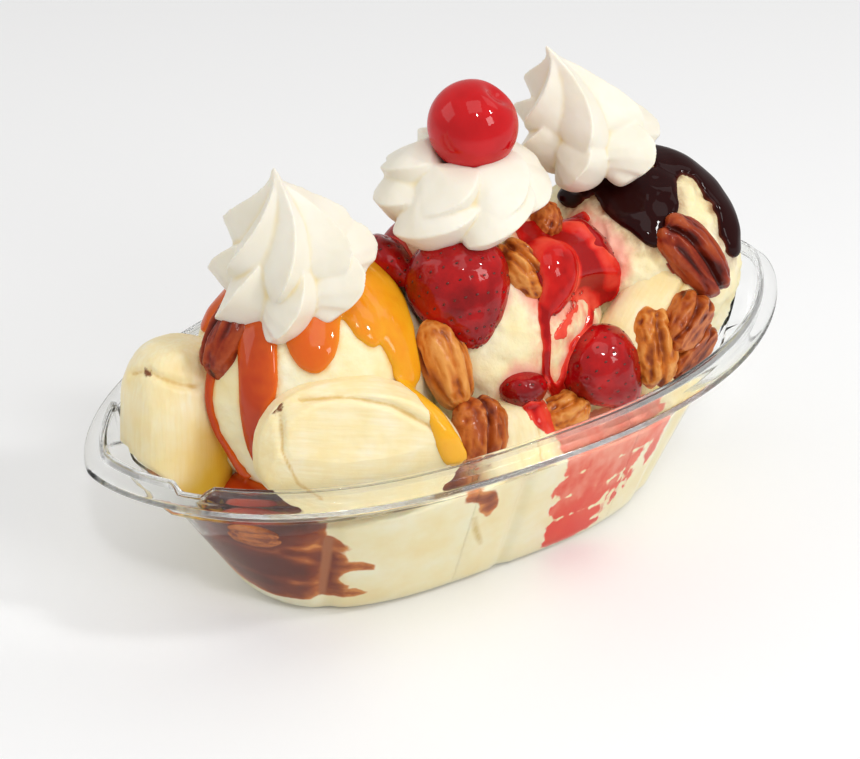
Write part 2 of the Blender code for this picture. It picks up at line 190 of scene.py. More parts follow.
def dish_profile(angle):
    """The sheet's upper face along one column: (corner, rounding) from the floor out to the flange."""
    foot_x = math.copysign(abs(math.cos(angle)) ** (2.0 / FOOT_SQUARE), math.cos(angle))
    foot_y = math.sin(angle)
    rim_x = float(rim_share(foot_x))
    width = (1.0 - min(abs(rim_x), 1.0) ** PLAN_POWER) ** PLAN_SOFTNESS * math.copysign(1.0, foot_y)

    def rim(inset, level):
        return Vector(((DISH_HALF - inset) * rim_x, (DISH_SIDE - inset) * width, level))

    foot = Vector((FOOT_HALF * foot_x, FOOT_SIDE * foot_y, SHEET))
    climb = min(max((abs(rim_x) * BOWL_HALF - 86.0 * MM) / (6.0 * MM), 0.0), 1.0)
    level = LEDGE_LEVEL + (SHELF_LEVEL - LEDGE_LEVEL) * climb
    bowl = Vector((BOWL_HALF * rim_x, BOWL_SIDE * width, SHELF_LEVEL))
    edge = foot.lerp(bowl, (level - SHEET) / (SHELF_LEVEL - SHEET))
    inward = Vector((-foot_x, -foot_y, 0.0)).normalized()
    flute = sum(max(0.0, 1.0 - ((foot.x - place) / FLUTE_HALF) ** 2) for place in FLUTES)
    groove = inward * FLUTE_DEPTH * flute
    wall_low = foot.lerp(edge, 0.09) + groove
    corner_in = Vector(((FOOT_HALF - FOOT_ROUND) * foot_x, (FOOT_SIDE - FOOT_ROUND) * foot_y, SHEET))
    corner = corner_in * 0.25 + (foot + groove * 0.7) * 0.5 + wall_low * 0.25
    dip = min(1.0, 2.2 * max(0.0, 1.0 - ((rim_x * DISH_HALF - NOTCH) / NOTCH_HALF) ** 2))
    top = RIM_TOP - (RIM_TOP - FLANGE_LEVEL) * 0.85 * dip
    return [
        (corner_in, 1.2), (corner, 1.2), (wall_low, 1.0), (foot.lerp(edge, 0.86) + groove, 1.5), (edge, 0.5),
        (rim(7.0 * MM, level + 0.8 * MM), 0.5), (rim(6.5 * MM, top - 0.8 * MM * (1 - dip)), 0.3),
        (rim(5.8 * MM, top), 0.3), (rim(4.6 * MM, top), 0.3), (rim(4.1 * MM, FLANGE_LEVEL), 0.4),
        (rim(0.0, FLANGE_LEVEL - 0.2 * MM), 0.0)]


def rounded(profile):
    """The profile's points with each corner turned by three points at its rounding's reach."""
    points = [profile[0][0]]
    for (before, _), (here, reach), (after, _) in zip(profile, profile[1:], profile[2:]):
        back, ahead = before - here, after - here
        start = here + back.normalized() * min(reach * MM, back.length * 0.4)
        end = here + ahead.normalized() * min(reach * MM, ahead.length * 0.4)
        points += [start, here * 0.5 + (start + end) * 0.25, end]
    points.append(profile[-1][0])
    return points


def loft(rings, close_start, close_end):
    """Vertices and faces of a surface through closed rings of equally many points."""
    count = len(rings[0])
    vertices = [tuple(point) for ring in rings for point in ring]
    faces = []
    for row in range(len(rings) - 1):
        for k in range(count):
            after = (k + 1) % count
            faces.append((row * count + k, row * count + after,
                          (row + 1) * count + after, (row + 1) * count + k))
    if close_start:
        faces.append(tuple(range(count - 1, -1, -1)))
    if close_end:
        faces.append(tuple((len(rings) - 1) * count + k for k in range(count)))
    return vertices, faces


def mesh_object(name, vertices, faces, outwards=True):
    """A smooth-shaded object from plain vertices and faces, its faces turned outwards."""
    mesh = bpy.data.meshes.new(name)
    mesh.from_pydata([tuple(v) for v in vertices], [], faces)
    if outwards:
        source = bmesh.new()
        source.from_mesh(mesh)
        bmesh.ops.recalc_face_normals(source, faces=source.faces)
        source.to_mesh(mesh)
        source.free()
    mesh.shade_smooth()
    made = bpy.data.objects.new(name, mesh)
    scene.collection.objects.link(made)
    return made


def flattened(piece):
    """The piece with its modifiers baked into a plain mesh."""
    bpy.context.view_layer.update()
    depsgraph = bpy.context.evaluated_depsgraph_get()
    mesh = bpy.data.meshes.new_from_object(piece.evaluated_get(depsgraph))
    piece.modifiers.clear()
    piece.data = mesh
    mesh.shade_smooth()
    return piece


def serve(piece, surface, slot, *nodes):
    """Dress a finished piece, fix it to the dessert and let it stand for its CAD nodes."""
    piece.data.materials.clear()
    piece.data.materials.append(surface)
    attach(piece, "root")
    if nodes:
        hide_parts(*nodes)


def principled(name, roughness, **sockets):
    """A new material and its shader, with constant sockets set on the shader itself."""
    made = bpy.data.materials.new(name)
    made.use_nodes = True
    shader = made.node_tree.nodes["Principled BSDF"]
    shader.inputs["Roughness"].default_value = roughness
    for socket, value in sockets.items():
        shader.inputs[socket.replace("_", " ")].default_value = value
    return made, shader


def node(material, kind, **settings):
    """A node of a kind, with its properties and unlinked inputs set by name."""
    made = material.node_tree.nodes.new("ShaderNode" + kind)
    for name, value in settings.items():
        if hasattr(made, name):
            setattr(made, name, value)
        else:
            made.inputs[name.replace("_", " ")].default_value = value
    return made


def link(material, source, target):
    material.node_tree.links.new(source, target)


def noise(material, size, detail=3.0, stretch=(1.0, 1.0, 1.0), source=None):
    """Noise in the piece's own coordinates, with features of a size in metres."""
    placed = node(material, "Mapping")
    placed.inputs["Scale"].default_value = [1.0 / (size * share) for share in stretch]
    if source is None:
        source = node(material, "TexCoord").outputs["Object"]
    link(material, source, placed.inputs["Vector"])
    made = node(material, "TexNoise", Scale=1.0, Detail=detail, Roughness=0.55)
    link(material, placed.outputs["Vector"], made.inputs["Vector"])
    return made.outputs["Fac"]


def ramp(material, source, stops):
    """Colours at places from 0 to 1 of a source."""
    made = node(material, "ValToRGB")
    points = made.color_ramp.elements
    while len(points) < len(stops):
        points.new(0.5)
    for point, (place, colour) in zip(points, stops):
        point.position = place
        point.color = (*colour, 1.0)
    link(material, source, made.inputs["Fac"])
    return made.outputs["Color"]


def relief(material, shader, *layers):
    """Stack bumps of (height source, depth in metres, strength) on a shader."""
    below = None
    for source, depth, strength in layers:
        made = node(material, "Bump", Strength=strength, Distance=depth)
        link(material, source, made.inputs["Height"])
        if below:
            link(material, below, made.inputs["Normal"])
        below = made.outputs["Normal"]
    link(material, below, shader.inputs["Normal"])


sheet_columns = [rounded(dish_profile(angle)) for angle in dish_columns()]
sheet_rings = [list(ring) for ring in zip(*sheet_columns)]
dish = mesh_object("dish_clear", *loft(sheet_rings, True, False))
wall = dish.modifiers.new("sheet", "SOLIDIFY")
wall.thickness = SHEET
wall.offset = -1.0
wall.use_even_offset = True
flattened(dish)

clear_sheet, clear_shader = principled(
    "clear_sheet", 0.1, Base_Color=(0.97, 0.975, 0.97, 1.0), Transmission_Weight=1.0, IOR=1.1,
    Coat_Weight=0.3, Coat_Roughness=0.05, Coat_IOR=1.5)
relief(clear_sheet, clear_shader, (noise(clear_sheet, 9 * MM, 1.0), 0.4 * MM, 0.25))
dish.visible_shadow = False
serve(dish, clear_sheet, "clear_plastic", "dish")


# Ice cream ------------------------------------------------------------------------------------
# Three scoops of vanilla pressed side by side, softened below into one mass that fills the dish and
# wets its wall. Caramel has run between the left scoop and the wall, strawberry syrup on the right.

BALLS = {"left": (-41.0, 33.0, 34.0), "middle": (10.0, 34.5, 36.0), "right": (60.0, 31.0, 33.0)}
SEAMS = (-15.2 * MM, 36.8 * MM)
MOUND_LEVEL, MOUND_RADII = 10.0 * MM, (96.0 * MM, 95.0 * MM, 42.0 * MM)
INTO_WALL = 0.4 * MM
GRAIN = 0.85 * MM                 # size of the cells that the soft shapes are merged in

ball_centre = {}
for side, (along, reach, height) in BALLS.items():
    ball_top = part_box("scoop_" + side)[1].z
    ball_centre[side] = Vector((along * MM, 0.0, ball_top - height * MM))


def mound_height(x, y):
    """The level of the melted mass at a place in the dish."""
    share = 1.0 - (x / MOUND_RADII[0]) ** 2 - (y / MOUND_RADII[1]) ** 2
    return MOUND_LEVEL + MOUND_RADII[2] * math.sqrt(max(share, 0.0))


def fill_column(column):
    """One column of the fill: up the wall from the floor to the mound's level."""
    points = [column[0]]
    for before, here in zip(column, column[1:]):
        level = mound_height(here.x, here.y)
        if here.z > level:
            share = (level - before.z) / (here.z - before.z)
            points.append(before.lerp(here, min(max(share, 0.0), 1.0)))
            break
        points.append(here)
    return points


def even(points, count):
    """The same run of points, resampled to an even count."""
    steps = [0.0]
    for before, here in zip(points, points[1:]):
        steps.append(steps[-1] + (here - before).length)
    wanted = np.linspace(0.0, steps[-1], count)
    axes = [np.interp(wanted, steps, [p[k] for p in points]) for k in range(3)]
    return [Vector(spot) for spot in zip(*axes)]


FILL_ROWS = 24                    # of points up the wall
fill_columns = [even(fill_column(column), FILL_ROWS) for column in sheet_columns[::2]]
fill_rows = [list(ring) for ring in zip(*fill_columns)]
for share in (0.97, 0.9, 0.75, 0.5, 0.2):
    ring = []
    for point in fill_rows[FILL_ROWS - 1]:
        x, y = point.x * (0.6 + 0.4 * share), point.y * share
        ring.append(Vector((x, y, mound_height(x, y))))
    fill_rows.append(ring)
fill_shape = mesh_object("fill", *loft(fill_rows, True, True))
wetting = fill_shape.modifiers.new("into_wall", "DISPLACE")
wetting.strength = INTO_WALL
wetting.mid_level = 0.0
flattened(fill_shape)


def unevenness(places, size, octaves=3):
    """Smooth noise of about -1 to 1 at places in metres, with features of that size in metres."""
    total = np.zeros(len(places))
    strength = 1.0
    for octave in range(octaves):
        spots = places / size * 2.0 ** octave + 17.3 * (octave + 1)
        cell = np.floor(spots)
        part = spots - cell
        blend = part * part * (3.0 - 2.0 * part)
        value = np.zeros(len(places))
        for corner in itertools.product((0, 1), repeat=3):
            hashed = np.sin((cell + corner) @ np.array((127.1, 311.7, 74.7))) * 43758.5453
            value += (hashed - np.floor(hashed)) * np.prod(np.where(corner, blend, 1.0 - blend), axis=1)
        total += (value * 2.0 - 1.0) * strength
        strength *= 0.5
    return total


def coordinates(piece):
    """The piece's vertices and their normals as arrays."""
    mesh = piece.data
    places = np.empty(len(mesh.vertices) * 3)
    normals = np.empty(len(mesh.vertices) * 3)
    mesh.vertices.foreach_get("co", places)
    mesh.vertices.foreach_get("normal", normals)
    return places.reshape(-1, 3), normals.reshape(-1, 3)


def move_to(piece, places):
    piece.data.vertices.foreach_set("co", places.ravel())
    piece.data.update()


def note(piece, name, values):
    """Keep one number for each vertex, for the piece's material to read."""
    kept = piece.data.attributes.new(name, "FLOAT", "POINT")
    kept.data.foreach_set("value", values.astype(np.float32))


def merged(piece, cell, passes):
    """Merge a piece's overlapping closed shapes into one skin and smooth it."""
    union = piece.modifiers.new("merge", "REMESH")
    union.mode = "VOXEL"
    union.voxel_size = cell
    soft = piece.modifiers.new("soften", "SMOOTH")
    soft.factor = 0.5
    soft.iterations = passes
    return flattened(piece)


def join(name, pieces):
    """Join several objects' meshes into one new object."""
    source = bmesh.new()
    for piece in pieces:
        source.from_mesh(piece.data)
        bpy.data.objects.remove(piece)
    mesh = bpy.data.meshes.new(name)
    source.to_mesh(mesh)
    source.free()
    made = bpy.data.objects.new(name, mesh)
    scene.collection.objects.link(made)
    return made


def ball_grid(around, along):
    """A unit ball with its poles on X, as an array of points and its faces."""
    turn = np.arange(around) * 2.0 * np.pi / around
    polar = np.linspace(0.0, np.pi, along + 1)[1:-1]
    x = np.repeat(np.cos(polar), around)
    y = np.outer(np.sin(polar), np.cos(turn)).ravel()
    z = np.outer(np.sin(polar), np.sin(turn)).ravel()
    points = np.vstack(([1.0, 0.0, 0.0], np.column_stack((x, y, z)), [-1.0, 0.0, 0.0]))
    last = len(points) - 1
    faces = []
    for k in range(around):
        after = (k + 1) % around
        faces.append((0, 1 + k, 1 + after))
        for row in range(along - 2):
            a, b = 1 + row * around, 1 + (row + 1) * around
            faces.append((a + k, b + k, b + after, a + after))
        base = 1 + (along - 2) * around
        faces.append((last, base + after, base + k))
    return points, faces


def capsules(places, chains):
    """Distance from places to the nearest of some chains of (x, y, z, radius), negative inside."""
    best = np.full(len(places), 1.0)
    for chain in chains:
        chain = np.array(chain) * MM
        if len(chain) == 1:
            chain = np.vstack((chain, chain))
        for start, end in zip(chain, chain[1:]):
            run = end[:3] - start[:3]
            length = max(run @ run, 1e-12)
            share = np.clip((places - start[:3]) @ run / length, 0.0, 1.0)
            nearest = start[:3] + share[:, None] * run
            radius = start[3] + share * (end[3] - start[3])
            best = np.minimum(best, np.linalg.norm(places - nearest, axis=1) - radius)
    return best


# Places in millimetres where sauce lies between the ice cream and the wall
CARAMEL_STAINS = (
    ((-80, 0, 40, 10), (-76, -8, 38, 11), (-68, -20, 38, 11), (-60, -26, 40, 8.5)),
    ((-75, -2, 27, 10), (-71, -10, 25, 11), (-64, -18, 23, 11), (-59, -23, 22, 8)),
    ((-68, -8, 16, 8), (-63, -14, 14, 8), (-57, -19, 13, 6.5)),
    ((-54, -30, 35, 4), (-50, -31, 33, 3.2), (-46.5, -32, 31.8, 2), (-44, -32, 31, 0.6)),
    ((-51, -26, 12, 4.5), (-51, -29, 20, 4.5), (-52, -30, 27, 4)),
    ((-62, -24, 31, 5.5), (-57, -28, 30, 4.5), (-54, -29, 25, 4)),
    ((-50, -30, 23.5, 3), (-45, -31, 23.4, 2.4), (-42, -32, 22, 1.7), (-40.6, -32, 19.6, 0.4)),
    ((-50, -24, 10.5, 2.6), (-45, -27, 10.4, 2.2), (-41.4, -27.6, 9.8, 0.9)),
    ((-24, -37, 48, 3), (-17, -41, 45, 4), (-12, -41.5, 43, 3.6), (-10.8, -41, 37, 2.9),
     (-10.4, -40, 33.5, 1.2)),
)
CLEAN_SPOTS = (
    ((-45.6, -30, 17.2, 4.1), (-43, -30.5, 17.4, 3.6)),
    ((-50, -31, 29.6, 0.5), (-42, -33, 28.2, 1.3)),
)
BERRY_STAINS = (
    ((17, -40, 44, 7), (30, -38, 44, 8), (45, -34, 42, 7)),
    ((16, -38, 33, 6), (27, -36, 33, 7), (38, -34, 32, 5)),
    ((16.5, -35, 23, 5.5), (26, -34, 22, 6)),
    ((17, -32, 12, 5), (24, -31, 12, 5.5), (29, -30, 12, 4)),
    ((17, -30, 6, 3.5), (24, -29.5, 6, 4), (30, -29, 7, 3)),
    ((33, -33, 25, 3.5), (34.5, -31, 18, 2.5), (35, -30, 13, 1.5)),
    ((37, -34, 30, 3), (39, -32, 22, 2), (39.5, -31, 17, 0.6)),
    ((47, -34, 36, 3.2), (47, -33, 28, 2.4), (46, -32, 23, 0.5)),
    ((14, -33, 14, 1.5), (12.2, -32, 11, 0.4)),
)

# Where syrup has seeped into the vanilla round the berries, the furrow beside the middle scoop with its
# painted shade, and the front flute, where the wall stands off the caramel and its reflection is painted as
# a paler band
BLUSHES = [[[*(sum(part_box("strawberry_" + name), Vector()) / 2 / MM), reach]] for name, reach in (
    ("big", 13), ("centre", 12), ("back_right", 12), ("front_right", 12), ("small", 8), ("back", 13))]
# A line of painted shade down the furrow where the left and middle scoops press together
FURROW_SHADE_LINE = [((-14.5, -41, 33, 0.8), (-13.2, -39, 28, 0.9), (-9.5, -35, 19, 0.5))]
FRONT_FLUTE = [((-54, -32, 36, 1.4), (-52, -22, 8, 1.1))]

# For each scoop: how uneven and how broken its free surface is, and where it has melted out towards the
# wall, as (centre, radii) in millimetres
UNEVEN = {"left": 0.9, "middle": 1.0, "right": 1.2}
MELTS = {"left": (((-79.5, 0, 45), (8, 12, 7)),), "middle": (), "right": ()}
BROKEN = {"left": 0.35, "middle": 0.5, "right": 1.5}
OVERLAP = 0.7 * MM                # of neighbouring scoops, so that no gap shows where they press together
PAST_THE_END = 0.2                # in metres, beyond either end of the dish

scoops = {}
starts = (-PAST_THE_END, SEAMS[0] - OVERLAP, SEAMS[1] - OVERLAP)
for side, low, high in zip(BALLS, starts, (*SEAMS, PAST_THE_END)):
    along, reach, height = BALLS[side]
    unit, ball_faces = ball_grid(56, 40)
    ball = unit * np.array((reach, reach, height)) * MM + np.array(ball_centre[side])
    balls = [mesh_object("ball", ball, ball_faces)]
    for centre, radii in MELTS[side]:
        balls.append(mesh_object("melt", (unit * radii + centre) * MM, ball_faces))
    part = join("part", balls)
    whole = bmesh.new()
    for source in (part.data, fill_shape.data):
        piece = bmesh.new()
        piece.from_mesh(source)
        for place, keep in ((low, 1.0), (high, -1.0)):
            parts = piece.verts[:] + piece.edges[:] + piece.faces[:]
            bmesh.ops.bisect_plane(piece, geom=parts, plane_co=(place, 0, 0), plane_no=(-keep, 0, 0),
                                   clear_outer=True)
            bmesh.ops.holes_fill(piece, edges=[e for e in piece.edges if e.is_boundary], sides=0)
        bmesh.ops.recalc_face_normals(piece, faces=piece.faces)
        cut = bpy.data.meshes.new("cut")
        piece.to_mesh(cut)
        piece.free()
        whole.from_mesh(cut)
    bpy.data.objects.remove(part)
    mesh = bpy.data.meshes.new("scoop")
    whole.to_mesh(mesh)
    whole.free()
    scoop = bpy.data.objects.new("ice_cream_" + side, mesh)
    scene.collection.objects.link(scoop)
    merged(scoop, GRAIN, 3)
    places, normals = coordinates(scoop)
    free = np.where(places[:, 2] > 0.052, 1.0, smooth_step(normals[:, 2], 0.3, 0.7))
    free *= smooth_step(places[:, 2], 0.03, 0.04)
    ripple = 0.55 * MM * unevenness(places * (1.0, 1.0, 1.8), 13 * MM)
    ripple += 0.2 * MM * unevenness(places, 3.5 * MM)
    broken = BROKEN[side] * MM * np.abs(unevenness(places + 0.2, 6 * MM))
    places += normals * ((UNEVEN[side] * (ripple - 0.25 * MM) - broken) * free)[:, None]
    move_to(scoop, places)
    stain = np.maximum(capsules(places, CARAMEL_STAINS), -capsules(places, CLEAN_SPOTS))
    note(scoop, "caramel", stain / MM)
    note(scoop, "berry", capsules(places, BERRY_STAINS) / MM)
    note(scoop, "blush", capsules(places, BLUSHES) / MM)
    note(scoop, "furrow_shade", capsules(places, FURROW_SHADE_LINE) / MM)
    note(scoop, "flute", capsules(places, FRONT_FLUTE) / MM)
    note(scoop, "free", free)
    scoops[side] = scoop

vanilla, vanilla_shader = principled(
    "vanilla_ice", 0.42, Subsurface_Weight=0.25, Subsurface_Radius=(1.0, 0.7, 0.4), Subsurface_Scale=3 * MM,
    Specular_IOR_Level=0.25)


def mix(material, factor, first, second):
    """Colour two sources in a proportion; a source is a socket or a colour."""
    made = material.node_tree.nodes.new("ShaderNodeMix")
    made.data_type = "RGBA"
    for place, source in (("A", first), ("B", second)):
        socket = [s for s in made.inputs if s.name == place and s.type == "RGBA"][0]
        if isinstance(source, tuple):
            socket.default_value = (*source, 1.0)
        else:
            link(material, source, socket)
    link(material, factor, made.inputs["Factor"])
    return [s for s in made.outputs if s.type == "RGBA"][0]


def math_node(material, operation, *values):
    """The result of an operation on numbers or sockets."""
    made = node(material, "Math", operation=operation)
    for socket, value in zip(made.inputs, values):
        if isinstance(value, (int, float)):
            socket.default_value = value
        else:
            link(material, value, socket)
    return made.outputs[0]


def attribute(material, name):
    """One number kept on each of the piece's vertices."""
    made = node(material, "Attribute", attribute_name=name)
    return made.outputs["Fac"]


def eased(material, source, start, end, full):
    """From 0 where a source is at its start to full where it is at its end, easing in and out."""
    made = node(material, "MapRange", interpolation_type="SMOOTHSTEP")
    for socket, value in (("From Min", start), ("From Max", end), ("To Min", 0.0), ("To Max", full)):
        made.inputs[socket].default_value = value
    link(material, source, made.inputs["Value"])
    return made.outputs["Result"]


def stained(material, stain, rough, soft, jag, stretch=(1.0, 1.0, 1.0)):
    """1 inside a stain, 0 outside: its distance attribute with an uneven edge of a softness in mm."""
    distance = attribute(material, stain)
    wander = math_node(material, "MULTIPLY_ADD", noise(material, rough, 4.0, stretch), 2.0 * jag, -jag)
    edge = math_node(material, "ADD", distance, wander)
    return eased(material, edge, soft, -soft, 1.0)


milk = ramp(vanilla, noise(vanilla, 14 * MM, 4.0), (
    (0.3, (0.91, 0.77, 0.42)), (0.5, (0.94, 0.84, 0.54)), (0.7, (0.96, 0.90, 0.68))))
into_stain = math_node(vanilla, "MULTIPLY", attribute(vanilla, "caramel"), -0.16)
patchy = math_node(vanilla, "MULTIPLY_ADD", noise(vanilla, 9 * MM, 3.0, (1.0, 1.0, 0.5)), 1.2, -0.6)
caramel_tone = ramp(vanilla, math_node(vanilla, "ADD", into_stain, patchy), (
    (0.0, (0.70, 0.27, 0.06)), (0.16, (0.46, 0.11, 0.015)), (0.45, (0.22, 0.030, 0.003)),
    (0.9, (0.12, 0.014, 0.003))))
# A paler band on the caramel along the front flute: painted reflection of the dish's flute
flute_reflection_band = stained(vanilla, "flute", 4 * MM, 0.6, 0.3)
caramel_tone = mix(vanilla, flute_reflection_band, caramel_tone, (0.42, 0.14, 0.05))
level = node(vanilla, "SeparateXYZ")
link(vanilla, node(vanilla, "TexCoord").outputs["Object"], level.inputs["Vector"])
higher = math_node(vanilla, "MULTIPLY_ADD", level.outputs["Z"], 22.0, -0.12)
drips = math_node(vanilla, "MULTIPLY_ADD", noise(vanilla, 5 * MM, 4.0, (1.0, 1.0, 3.0)), 1.4, -0.7)
streaks = math_node(vanilla, "ADD", higher, drips)
berry_tone = ramp(vanilla, streaks, (
    (0.1, (0.80, 0.035, 0.010)), (0.4, (0.80, 0.065, 0.022)), (0.6, (0.84, 0.16, 0.09)),
    (0.9, (0.88, 0.32, 0.22))))
in_caramel = stained(vanilla, "caramel", 3.5 * MM, 0.35, 0.9)
in_syrup = stained(vanilla, "berry", 3.2 * MM, 0.4, 3.4, (1.0, 1.0, 2.6))
in_blush = stained(vanilla, "blush", 4 * MM, 2.5, 3.0, (1.0, 1.0, 3.0))
with_caramel = mix(vanilla, in_caramel, milk, caramel_tone)
with_both = mix(vanilla, in_syrup, with_caramel, berry_tone)
blushing = mix(vanilla, in_blush, with_both, (0.93, 0.48, 0.36))

# The sauces tinge the vanilla beside them; each notes its closeness under its tinge's name
SAUCE_TINGES = {"rosy": (0.90, 0.16, 0.10), "cocoa": (0.30, 0.10, 0.035), "amber": (0.90, 0.50, 0.10)}
for name, colour in SAUCE_TINGES.items():
    near = attribute(vanilla, name)
    cloudy = math_node(vanilla, "MULTIPLY_ADD", noise(vanilla, 3 * MM, 4.0, (1.0, 1.0, 2.2)), 2.4, -0.75)
    blushing = mix(vanilla, math_node(vanilla, "MULTIPLY", near, cloudy), blushing, colour)
# Darker yellow along that furrow: painted shade
with_furrow_shade = mix(vanilla, stained(vanilla, "furrow_shade", 4 * MM, 0.9, 0.5), blushing, (0.66, 0.50, 0.16))
link(vanilla, with_furrow_shade, vanilla_shader.inputs["Base Color"])
free_surface = attribute(vanilla, "free")
relief(vanilla, vanilla_shader,
       (math_node(vanilla, "MULTIPLY", noise(vanilla, 2.6 * MM, 5.0), free_surface), 0.7 * MM, 0.5),
       (math_node(vanilla, "MULTIPLY", noise(vanilla, 0.7 * MM, 2.0), free_surface), 0.15 * MM, 0.3))
for side, scoop in scoops.items():
    serve(scoop, vanilla, "vanilla_ice_cream", "scoop_" + side)
bpy.data.objects.remove(fill_shape)


# Bananas --------------------------------------------------------------------------------------
# Peeled banana, cut in thick slanted slices and blunt end pieces and pushed in round the scoops.
# The flesh is pale, finely stringy along its length, with three faint seams.

INNER_RINGS = 17                  # of the sheet, from the floor to the ridge's inner edge
dish_inside = BVHTree.FromPolygons(*loft(sheet_rings[:INNER_RINGS], True, False))


WALL_GAP = 0.4 * MM
KEEL_HALF = 60 * MM               # of the line along the dish from which the wall is looked for


def kept_inside(places, gap=WALL_GAP):
    """Press what would stand through the dish's wall, or over its ridge, flat at a gap from the inside."""
    kept = places.copy()
    for k, place in enumerate(places):
        level = min(max(place[2], 2 * MM), RIM_TOP - 1.5 * MM)
        start = Vector((min(max(place[0], -KEEL_HALF), KEEL_HALF), 0.0, level))
        run = Vector((place[0], place[1], level)) - start
        hit = dish_inside.ray_cast(start, run.normalized(), run.length + gap)
        if hit[0]:
            wall = start + run.normalized() * (hit[3] - gap)
            kept[k, :2] = wall.x, wall.y
    return kept


def seat(name, heading, rise, spin):
    """Where a topping sits: its axes (X long, Z out of the ice cream), and its sizes along them."""
    out = heading_vector(heading, rise)
    level = Vector((0.0, 0.0, 1.0)).cross(out).normalized()
    uphill = out.cross(level)
    turn = math.radians(spin)
    long_way = level * math.cos(turn) + uphill * math.sin(turn)
    wide_way = out.cross(long_way)
    axes = np.array((long_way, wide_way, out))
    places, _ = coordinates(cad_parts[name])
    local = places @ axes.T
    low, high = local.min(axis=0), local.max(axis=0)
    centre = (low + high) / 2.0
    return axes, centre, high - low, high[2]


def lay(piece, local, axes, centre, crown):
    """Move a topping from its own axes to its seat, its crown at the CAD crown's height."""
    shifted = local + np.array((centre[0], centre[1], crown - local[:, 2].max()))
    move_to(piece, kept_inside(shifted @ axes))


def keep_axes(piece, local):
    """Keep the piece's own coordinates in millimetres, so that its material can follow its length."""
    kept = piece.data.attributes.new("own", "FLOAT_VECTOR", "POINT")
    kept.data.foreach_set("vector", (local / MM).astype(np.float32).ravel())


def banana_slice(unit, size):
    """A thick slice cut at a slant: a flat oval face inside a band of the fruit's outer side."""
    share = np.arccos(np.clip(unit[:, 2], -1.0, 1.0)) / np.pi
    around = np.arctan2(unit[:, 1], unit[:, 0])
    corners = (0.0, 0.38, 0.42, 0.60, 0.75, 0.80, 1.0)
    radius = np.interp(share, corners, (0.0, 0.84, 0.88, 0.97, 1.0, 0.95, 0.0))
    level = np.interp(share, corners, (1.0, 0.95, 0.86, 0.1, -0.7, -0.9, -1.0))
    lobes = 1.0 + 0.02 * np.cos(3.0 * around + 0.6) + 0.012 * np.cos(5.0 * around)
    slant = 0.035 * size[0] * (level > 0) * level
    return np.column_stack((np.cos(around) * radius * lobes * size[0] / 2 + slant,
                            np.sin(around) * radius * lobes * size[1] / 2 - slant / 2, level * size[2] / 2))


def banana_end(unit, size):
    """A blunt piece of banana: five soft corners round its length and a flat cut underneath."""
    around = np.arctan2(unit[:, 2], unit[:, 1])
    radius = np.hypot(unit[:, 1], unit[:, 2])
    across = radius ** 0.55 * (1.0 + 0.03 * np.cos(5.0 * around)) * (1.0 + 0.08 * unit[:, 0])
    along = np.sign(unit[:, 0]) * np.abs(unit[:, 0]) ** 0.6
    up = np.maximum(across * np.sin(around), -0.25)
    return np.column_stack((along * size[0] / 2, across * np.cos(around) * size[1] / 2, up * size[2]))


# shape; heading, rise and spin of its seat; height in mm; how strong the golden painted shade on its lower
# right side is; then lines (x, y in mm) of seams and of brown bruises on its outer face
BANANAS = {
    "front": (banana_slice, (-104, 24, -12), 12, 0.0,
              (((-22, 9), (-21, 0), (-15, -10), (-7, -15)), ((-17, 13), (-8, 15), (6, 13), (17, 8))),
              (((-23, 9), (-21.5, 11)),)),
    "left": (banana_end, (-150, 20, -80), 17.6, 1.0,
             (((-15.8, -6.5), (-18, 0), (-16, 5.5), (-13.5, 11)),), (((-17.4, -1.6), (-17, 0.8)),)),
    "front_middle": (banana_end, (-90, 30, -95), 12.8, 0.2, (((-12, 3), (0, 4), (10, 2)),), ()),
    "right": (banana_end, (-95, 45, -140), 8.8, 0.2, (((-18, 1), (0, 2.5), (18, 1)),), ()),
    "back": (banana_end, (95, 25, -4), 11.2, 0.2, (((-24, 2), (0, 4), (24, 2)),), ()),
}

flesh, flesh_shader = principled(
    "banana_flesh", 0.4, Specular_IOR_Level=0.35, Subsurface_Weight=0.2, Subsurface_Radius=(1.0, 0.7, 0.3),
    Subsurface_Scale=2 * MM)
own = node(flesh, "Attribute", attribute_name="own").outputs["Vector"]
strings = noise(flesh, 1.0, 3.0, (14.0, 1.1, 1.1), own)
pale = ramp(flesh, noise(flesh, 11 * MM, 3.0), (
    (0.3, (0.90, 0.73, 0.36)), (0.5, (0.93, 0.81, 0.50)), (0.7, (0.94, 0.86, 0.63))))
string_share = ramp(flesh, strings, ((0.35, (0.0,) * 3), (0.65, (0.35,) * 3)))
stringy = mix(flesh, string_share, pale, (0.87, 0.67, 0.30))
seamed = mix(flesh, stained(flesh, "seam", 3 * MM, 0.5, 0.5), stringy, (0.72, 0.48, 0.16))
# A golden painted shade on the lower right side of each piece
golden = mix(flesh, attribute(flesh, "golden_shade"), seamed, (0.78, 0.46, 0.03))
bruised = mix(flesh, stained(flesh, "bruise", 1.5 * MM, 0.4, 1.2), golden, (0.20, 0.06, 0.015))
link(flesh, bruised, flesh_shader.inputs["Base Color"])
relief(flesh, flesh_shader, (strings, 0.5 * MM, 0.3), (noise(flesh, 2.2 * MM, 3.0), 0.3 * MM, 0.25))


UNDERSIDE = 0.05                  # added to the distance under a piece, so that no line shows there
# The way that the golden painted shade on each piece's lower right side faces
SHADED_SIDE_WAY = np.array((0.66, -0.60, -0.45))        # the way that a golden side faces


def off_lines(local, lines, reach):
    """Distance in metres to lines drawn on a topping's outer face, less their reach in mm."""
    flat = local * (1.0, 1.0, 0.0)
    chains = [[(x, y, 0.0, reach) for x, y in line] for line in lines]
    return capsules(flat, chains) + UNDERSIDE * (local[:, 2] < 0)


